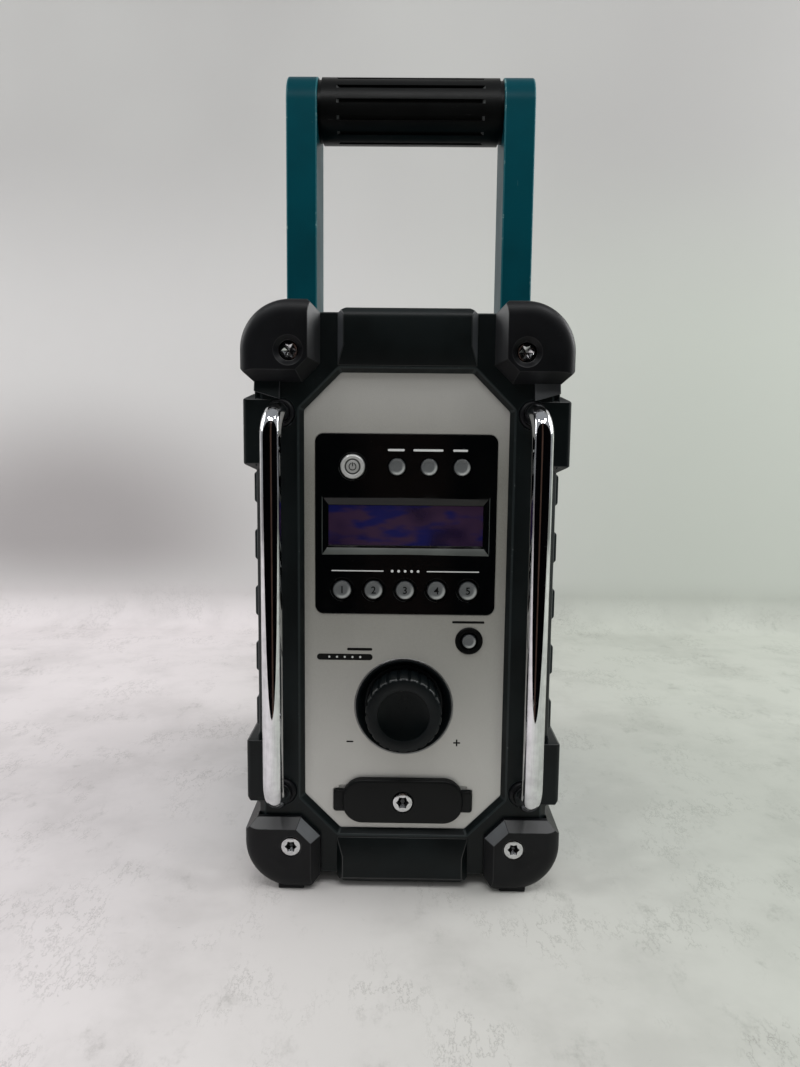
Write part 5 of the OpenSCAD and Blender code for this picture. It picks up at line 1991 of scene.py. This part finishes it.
@dataclass
class JackCover:
    """Soft cover over the sockets: one moulding, in two halves with bend lines beside its screw."""

    half_width: float = 31.5
    low_z: float = 33.7
    high_z: float = 57.6
    corner: float = 10.4
    front_y: float = -118.0
    back_y: float = -114.1
    rim: float = 1.5
    tab_x: float = 36.4
    tab_low: float = 39.5
    tab_high: float = 51.0
    tab_front: float = -116.2
    tab_back: float = -113.3
    tab_corner: float = 1.6
    tab_rim: float = 0.6
    well_radius: float = 5.8
    well_depth: float = 1.8
    hole_radius: float = 2.6
    post_radius: float = 6.5
    post_end: float = -104.6
    bend: Pair = (8.3, 13.5)
    bend_steps: int = 9
    screw: SocketScrew = SocketScrew(5.1, 3.5, 2.0, 0.35, 0.76, shank_end=19)
    screw_sunk: float = 0.5

    @property
    def middle_z(self) -> float:
        """The height of the screw."""
        return (self.low_z + self.high_z) / 2

    def moulding(self) -> Workpiece:
        """Shapes the whole cover with its tabs, post and screw well.

        Returns:
            The cover in one piece.
        """
        pad = Workpiece.box("jack_cover", (-self.half_width, self.front_y, self.low_z),
                            (self.half_width, self.back_y, self.high_z))
        pad.bevel(edge_along("y"), self.corner, 10).bevel(edge_at(self.front_y), self.rim, 5)
        for side in (-1, 1):
            outer = side * self.tab_x
            tab = Workpiece.box("tab", (side * (self.half_width - 2), self.tab_front, self.tab_low),
                                (outer, self.tab_back, self.tab_high))
            tab.bevel(edge_along("y", x=outer), self.tab_corner, 4)
            pad.fuse(tab.bevel(edge_at(self.tab_front), self.tab_rim, 3))
        centre = (0, self.middle_z)
        post = Workpiece.rod(self.post_radius, centre, self.post_end, self.back_y - 1, 48)
        well = Workpiece.rod(self.well_radius, centre, self.front_y + self.well_depth, self.front_y - 1, 48)
        hole = Workpiece.rod(self.hole_radius, centre, self.post_end + 1, self.front_y - 1, 32)
        return pad.fuse(post).cut(well, hole)

    def build(self) -> None:
        """Builds the two halves, the cover's screw, and what lies behind it."""
        whole = self.moulding().paint(COVER_RUBBER)
        for side, name in ((-1, "left"), (1, "right")):
            half = whole.copy(f"jack_cover_{name}").slice((0, 0, 0), (-side, 0, 0))
            start, end = self.bend
            for i in range(self.bend_steps):
                x = side * (start - 0.5 + (end - start + 1) * i / (self.bend_steps - 1))
                half.slice((x, 0, 0), (1, 0, 0), keep=True)
            half.smooth(35).to_metres()
            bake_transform(half.obj)
            half.register(f"radio_body and {name}_flap", f"jack_flap_{name}", "jack_cover_hub")
        whole.discard()
        screw = self.screw.make("jack_cover_star_screw", (0, self.front_y - self.screw_sunk, self.middle_z))
        screw.smooth(32).mount("radio_body", "jack_cover_screw")
        refine("jack_tray", INNER_PLASTIC, 0.3, cuts=(("X", 0.0), ("Z", 46.0)))
        finish_node("aux_socket", ZINC)
        finish_node("dc_socket", GLOSS_BLACK)


@dataclass
class Housing:
    """The two housing halves with their grilles, speakers, pivots and the antenna socket."""

    edge: float = 0.9

    def build(self) -> None:
        """Builds and dresses all of it."""
        for side in ("left", "right"):
            refine(f"{side}_housing", TEAL_PLASTIC, self.edge, cuts=(("Z", 128.0), ("Z", 262.0), ("Y", 7.5)))
            finish_node(f"{side}_grille", POWDER_COAT)
            finish_node(f"{side}_speaker_basket", ZINC)
        finish_node("speaker_cones", CONE_PAPER)
        refine("handle_pivot_bolts", SCREW_CHROME, 0.4)
        refine("antenna_socket", ZINC, 0.25)


@dataclass
class BatteryBack:
    """Battery door with its latch, and the bay behind it."""

    edge: float = 0.6

    def build(self) -> None:
        """Builds and dresses all of it."""
        refine("battery_door", FRAME_PLASTIC, self.edge, FRAME_EDGE,
               cuts=(("X", 0.0), ("Z", 66.0), ("Z", 100.0), ("Z", 150.0), ("Z", 200.0), ("Z", 232.0)))
        refine("door_latch", BUMPER_RUBBER, 0.3, cuts=(("X", 0.0),))
        refine("battery_bay", INNER_PLASTIC, 0.4, cuts=(("X", 0.0), ("Z", 150.0)))
        finish_node("battery_terminals", BRASS)


@dataclass
class Innards:
    """Boards and encoder behind the panel."""

    def build(self) -> None:
        """Dresses the inner nodes."""
        for node in ("main_board", "button_board"):
            finish_node(node, BOARD_MASK)
        for node in ("encoder_body", "encoder_shaft", "encoder_plunger"):
            finish_node(node, ZINC)


@dataclass
class CarryHandle:
    """Painted arms with rubbed edges, and the slotted rubber grip between them."""

    edge: float = 1.0
    axis_z: float = 433.0
    half_length: float = 53.3
    radius: float = 18.8
    collar_end: float = 55.45
    collar_radius: float = 17.4
    tube_end: float = 67.0
    tube_radius: float = 6.0
    slots: int = 13
    first_slot: float = 91.4
    slot_half: float = 44.0
    slot_width: float = 2.4
    slot_depth: float = 1.7
    slot_ramp: float = 1.5

    def grip(self) -> Workpiece:
        """Turns the grip and cuts its slots, whose ends are ramps.

        Returns:
            The grip.
        """
        half = [(self.tube_radius, -self.tube_end), (self.tube_radius, -self.collar_end),
                (self.collar_radius, -self.collar_end), (self.collar_radius, -self.half_length),
                (self.radius, -self.half_length)]
        profile = half + [(radius, -reach) for radius, reach in reversed(half)]
        piece = Workpiece.turned("handle_grip_sleeve", profile, (0, 0, self.axis_z), 96, (1, 0, 0))
        floor = self.axis_z + self.radius - self.slot_depth
        slot = Workpiece.box("slot", (-self.slot_half, -self.slot_width / 2, floor),
                             (self.slot_half, self.slot_width / 2, floor + 4))
        slot.bevel(edge_along("y", z=floor), self.slot_ramp)
        hub = Matrix.Translation((0, 0, self.axis_z))
        cutters = []
        for i in range(self.slots):
            turn = Matrix.Rotation(math.radians(self.first_slot) + math.tau * i / self.slots, 4, "X")
            cutters.append(slot.copy("slot", hub @ turn @ hub.inverted()))
        slot.discard()
        return piece.cut(cutters[0].join(*cutters[1:]))

    def build(self) -> None:
        """Builds and dresses the arms and the grip."""
        for side in ("left", "right"):
            refine(f"handle_arm_{side}", TEAL_PAINT, self.edge, TEAL_EDGE, 3, (("Z", 262.0), ("Z", self.axis_z)))
        grip = self.grip().paint(GRIP_RUBBER, SLOT_EDGE)
        # The slot ends get the light grey, as a painted glint.
        grip.dye(lambda middle, n: 0.3 < abs(n.x) < 0.95 and abs(middle.x) < self.half_length - 2)
        grip.smooth(32).mount("handle", "handle_grip")


# ---- Studio ----


class Light(Enum):
    """Soft area lamps: place, point they face, width, height, power, and whether polished surfaces show them."""

    TOP = ((0.0, -0.3, 1.9), (0.0, -0.1, 0.0), 0.6, 0.6, 3.0, False)
    FRONT = ((0.0, -0.6, 0.98), (0.0, -0.11, 0.18), 0.5, 0.16, 1.8, True)
    FRONT_LEFT = ((-0.42, -0.38, 0.95), (0.0, -0.1, 0.15), 0.08, 0.08, 1.0, True)
    FRONT_RIGHT = ((0.46, -0.36, 1.0), (0.0, -0.1, 0.15), 0.12, 0.12, 1.4, True)
    SIDE_LEFT = ((-1.2, 0.2, 0.8), (0.0, -0.1, 0.2), 0.7, 0.7, 7.0, True)
    SIDE_RIGHT = ((1.2, 0.2, 0.8), (0.0, -0.1, 0.2), 0.7, 0.7, 12.0, True)


@dataclass
class Studio:
    """Pale floor that curves up into the backdrop, soft lamps and the camera."""

    floor_left: Colour = rgb("dcd6d7")
    floor_right: Colour = rgb("b8bbb3")
    floor_mark: Colour = rgb("5a5853")
    wall_colour: Colour = rgb("c6c6c4")
    wall_shade: Colour = rgb("bab9b8")
    # Lighter colours for the lower wall, left and right: painted light.
    wall_low: Colour = rgb("d8d7d6")
    wall_right: Colour = rgb("c7cbc4")
    # A painted shadow low on the left of the wall.
    patch_colour: Colour = rgb("8b8586")
    patch_place: Place = (-420.0, 0.0, 115.0)
    # Middle of a darker spot on the floor in front of the object.
    stain_place: Place = (0.0, -210.0, 0.0)
    sweep_start: float = 0.44
    sweep_radius: float = 0.04
    half_width: float = 3.0
    front_edge: float = -3.0
    wall_top: float = 3.0
    card_y: float = -0.415
    card_half: float = 3.0
    card_high: float = 0.64
    card_colour: Colour = rgb("040405")
    figure_colour: Colour = rgb("4a3a33")
    figure_edge: float = 49.0
    fill_colour: Colour = (0.46, 0.467, 0.467)
    mirrored_colour: Colour = (0.3, 0.31, 0.32)
    pale_colour: Colour = (0.55, 0.555, 0.56)
    camera_place: Place = (0.00113, -0.51750, 0.23354)
    camera_yaw: float = -0.56
    camera_pitch: float = 6.63
    camera_roll: float = 0.59
    focal_px: float = 801.0
    photo_height_px: float = 1067.0
    sensor: float = 36.0

    def sweep(self) -> None:
        """Spins the floor's back edge up and extrudes it into the wall."""
        length = self.sweep_start - self.front_edge
        floor = Workpiece.sheet("studio_floor", (0, self.sweep_start - length / 2, 0), 2 * self.half_width, length)
        floor.edit(Element.EDGE, lambda a, b: min(a.y, b.y) > self.sweep_start - 0.001)
        bpy.ops.mesh.spin(steps=24, angle=-math.pi / 2, center=(0, self.sweep_start, self.sweep_radius),
                          axis=(1, 0, 0))
        floor.done()
        floor.edit(Element.EDGE, lambda a, b: min(a.z, b.z) > self.sweep_radius - 0.001)
        bpy.ops.mesh.extrude_region_move(
            TRANSFORM_OT_translate={"value": (0, 0, self.wall_top - self.sweep_radius)})
        floor.done().face(inside=True).smooth(60)
        floor.obj.data.materials.append(self.floor_material())

    def blank(self, name: str) -> tuple[bpy.types.Material, Graph]:
        """Makes an empty material.

        Args:
            name: The material's name.

        Returns:
            The material and its graph.
        """
        made = bpy.data.materials.new(name)
        made.use_nodes = True
        return made, Graph(made.node_tree)

    def floor_material(self) -> bpy.types.Material:
        """Makes the pale floor with faint marks, and the wall, lighter low down as painted light and with a painted
        shadow low on the left; the wall lets light and sight through from behind.

        Returns:
            The material.
        """
        made, graph = self.blank("studio_floor")
        across, height = (graph.place().part(axis) for axis in "XZ")
        cloud = graph.noise(90, 5, soft=0.62).step(0.42, 0.68)
        veins = graph.noise(22, 7, graph.place((1.0, 0.6, 1.0)), 0.75).step(0.55, 0.75)
        scratches = graph.noise(5, 4, graph.place((0.25, 1.0, 1.0)), 0.7).step(0.66, 0.74) * cloud
        floor = graph.blend(across.step(-260, 260), self.floor_left, self.floor_right)
        crazed = graph.noise(10, 9, graph.place((1.0, 0.4, 1.0)), 0.72) - 0.5
        cracks = (crazed * crazed).step(0.00014, 0.00001) * graph.noise(60, 3).step(0.5, 0.62)
        # Darker towards a spot on the floor just in front of the object.
        dim_spot = graph.place((1.0, 1.3, 0.0), self.stain_place).length().step(200, 30) * 0.13
        marks = cloud * 0.14 + veins * 0.24 + scratches * 0.45 + cracks * 0.3 + dim_spot
        worn = graph.blend(marks, floor, self.floor_mark)
        # The painted shadow low on the left of the wall.
        patch = graph.place((1.0, 0.0, 1.6), self.patch_place).length().step(330, 60)
        even = graph.blend(graph.noise(420, 2).step(0.3, 0.7), self.wall_colour, self.wall_shade)
        # Painted light: the lower wall is lighter than the upper, most on the left.
        low = graph.blend(across.step(-150, 380), self.wall_low, self.wall_right)
        bright = graph.blend(height.step(620, 330), even, low)
        wall = graph.blend(patch * height.step(0, 110) * 0.62, bright, self.patch_colour)
        tone = graph.blend(height.step(0, 1700 * self.sweep_radius), worn, wall)
        shader = graph.node("ShaderNodeBsdfPrincipled", {}, {
            "Base Color": tone, "Roughness": 0.62 + veins * 0.1, "Specular IOR Level": 0.0})
        clear = graph.node("ShaderNodeBsdfTransparent", {}, {})
        behind = graph.node("ShaderNodeNewGeometry", {}, {}, "Backfacing")
        mixed = graph.node("ShaderNodeMixShader", {}, {0: behind, 1: shader, 2: clear})
        graph.node_output("ShaderNodeOutputMaterial", mixed)
        return made

    def card(self) -> None:
        """Stands a dark card with a dim warm stripe in front, which only polished surfaces show."""
        card = Workpiece.sheet("studio_card", (0, self.card_y, self.card_high / 2), 2 * self.card_half,
                               self.card_high, upright=True)
        made, graph = self.blank("studio_card")
        across = graph.place().part("X")
        figure = (across * across).step(self.figure_edge ** 2, (self.figure_edge / 2) ** 2)
        graph.surface(Base_Color=graph.blend(figure, self.card_colour, self.figure_colour), Roughness=0.9,
                      Specular_IOR_Level=0.0)
        card.obj.data.materials.append(made)
        card.obj.visible_camera = False
        card.obj.visible_shadow = False
        card.obj.visible_diffuse = False

    def lamps(self) -> None:
        """Hangs the soft lamps."""
        for light in Light:
            place, target, width, height, power, mirrored = light.value
            data = bpy.data.lights.new(f"lamp_{light.name.lower()}", "AREA")
            data.shape = "RECTANGLE"
            data.size = width
            data.size_y = height
            data.energy = power
            lamp = linked(data.name, data)
            lamp.location = place
            lamp.rotation_euler = (Vector(target) - Vector(place)).to_track_quat("-Z", "Y").to_euler()
            lamp.visible_camera = False
            lamp.visible_glossy = mirrored

    def surroundings(self) -> None:
        """Lights the room evenly from all round; polished surfaces show it dark, and the camera pale."""
        world = bpy.data.worlds.new("studio")
        world.use_nodes = True
        graph = Graph(world.node_tree)
        seen, mirrored = (graph.node("ShaderNodeLightPath", {}, {}, f"Is {ray} Ray") for ray in ("Camera", "Glossy"))
        colour = graph.blend(seen, graph.blend(mirrored, self.fill_colour, self.mirrored_colour), self.pale_colour)
        shader = graph.node("ShaderNodeBackground", {}, {"Color": colour, "Strength": 1.0})
        graph.node_output("ShaderNodeOutputWorld", shader)
        bpy.context.scene.world = world

    def camera(self) -> None:
        """Sets up the camera."""
        data = bpy.data.cameras.new("camera")
        data.sensor_width = self.sensor
        data.lens = self.focal_px / self.photo_height_px * self.sensor
        camera = linked("camera", data)
        aim = (Matrix.Rotation(-math.radians(self.camera_yaw), 4, "Z")
               @ Matrix.Rotation(math.radians(90 - self.camera_pitch), 4, "X")
               @ Matrix.Rotation(math.radians(self.camera_roll), 4, "Z"))
        camera.matrix_world = Matrix.Translation(self.camera_place) @ aim
        bpy.context.scene.camera = camera

    def build(self) -> None:
        """Sets up the whole studio."""
        bpy.context.scene.view_settings.view_transform = "Standard"
        self.sweep()
        self.card()
        self.lamps()
        self.surroundings()
        self.camera()


def main() -> None:
    """Builds the studio and every sub-assembly in order."""
    logging.basicConfig(level=logging.INFO, format="%(message)s")
    for part in (Studio(), ImpactFrames(), FrontPanel(), Keys(), Marks(), VolumeKnob(), JackCover(), Housing(),
                 BatteryBack(), Innards(), CarryHandle()):
        LOG.info("-- %s", type(part).__name__)
        part.build()


if __name__ == "__main__":
    main()
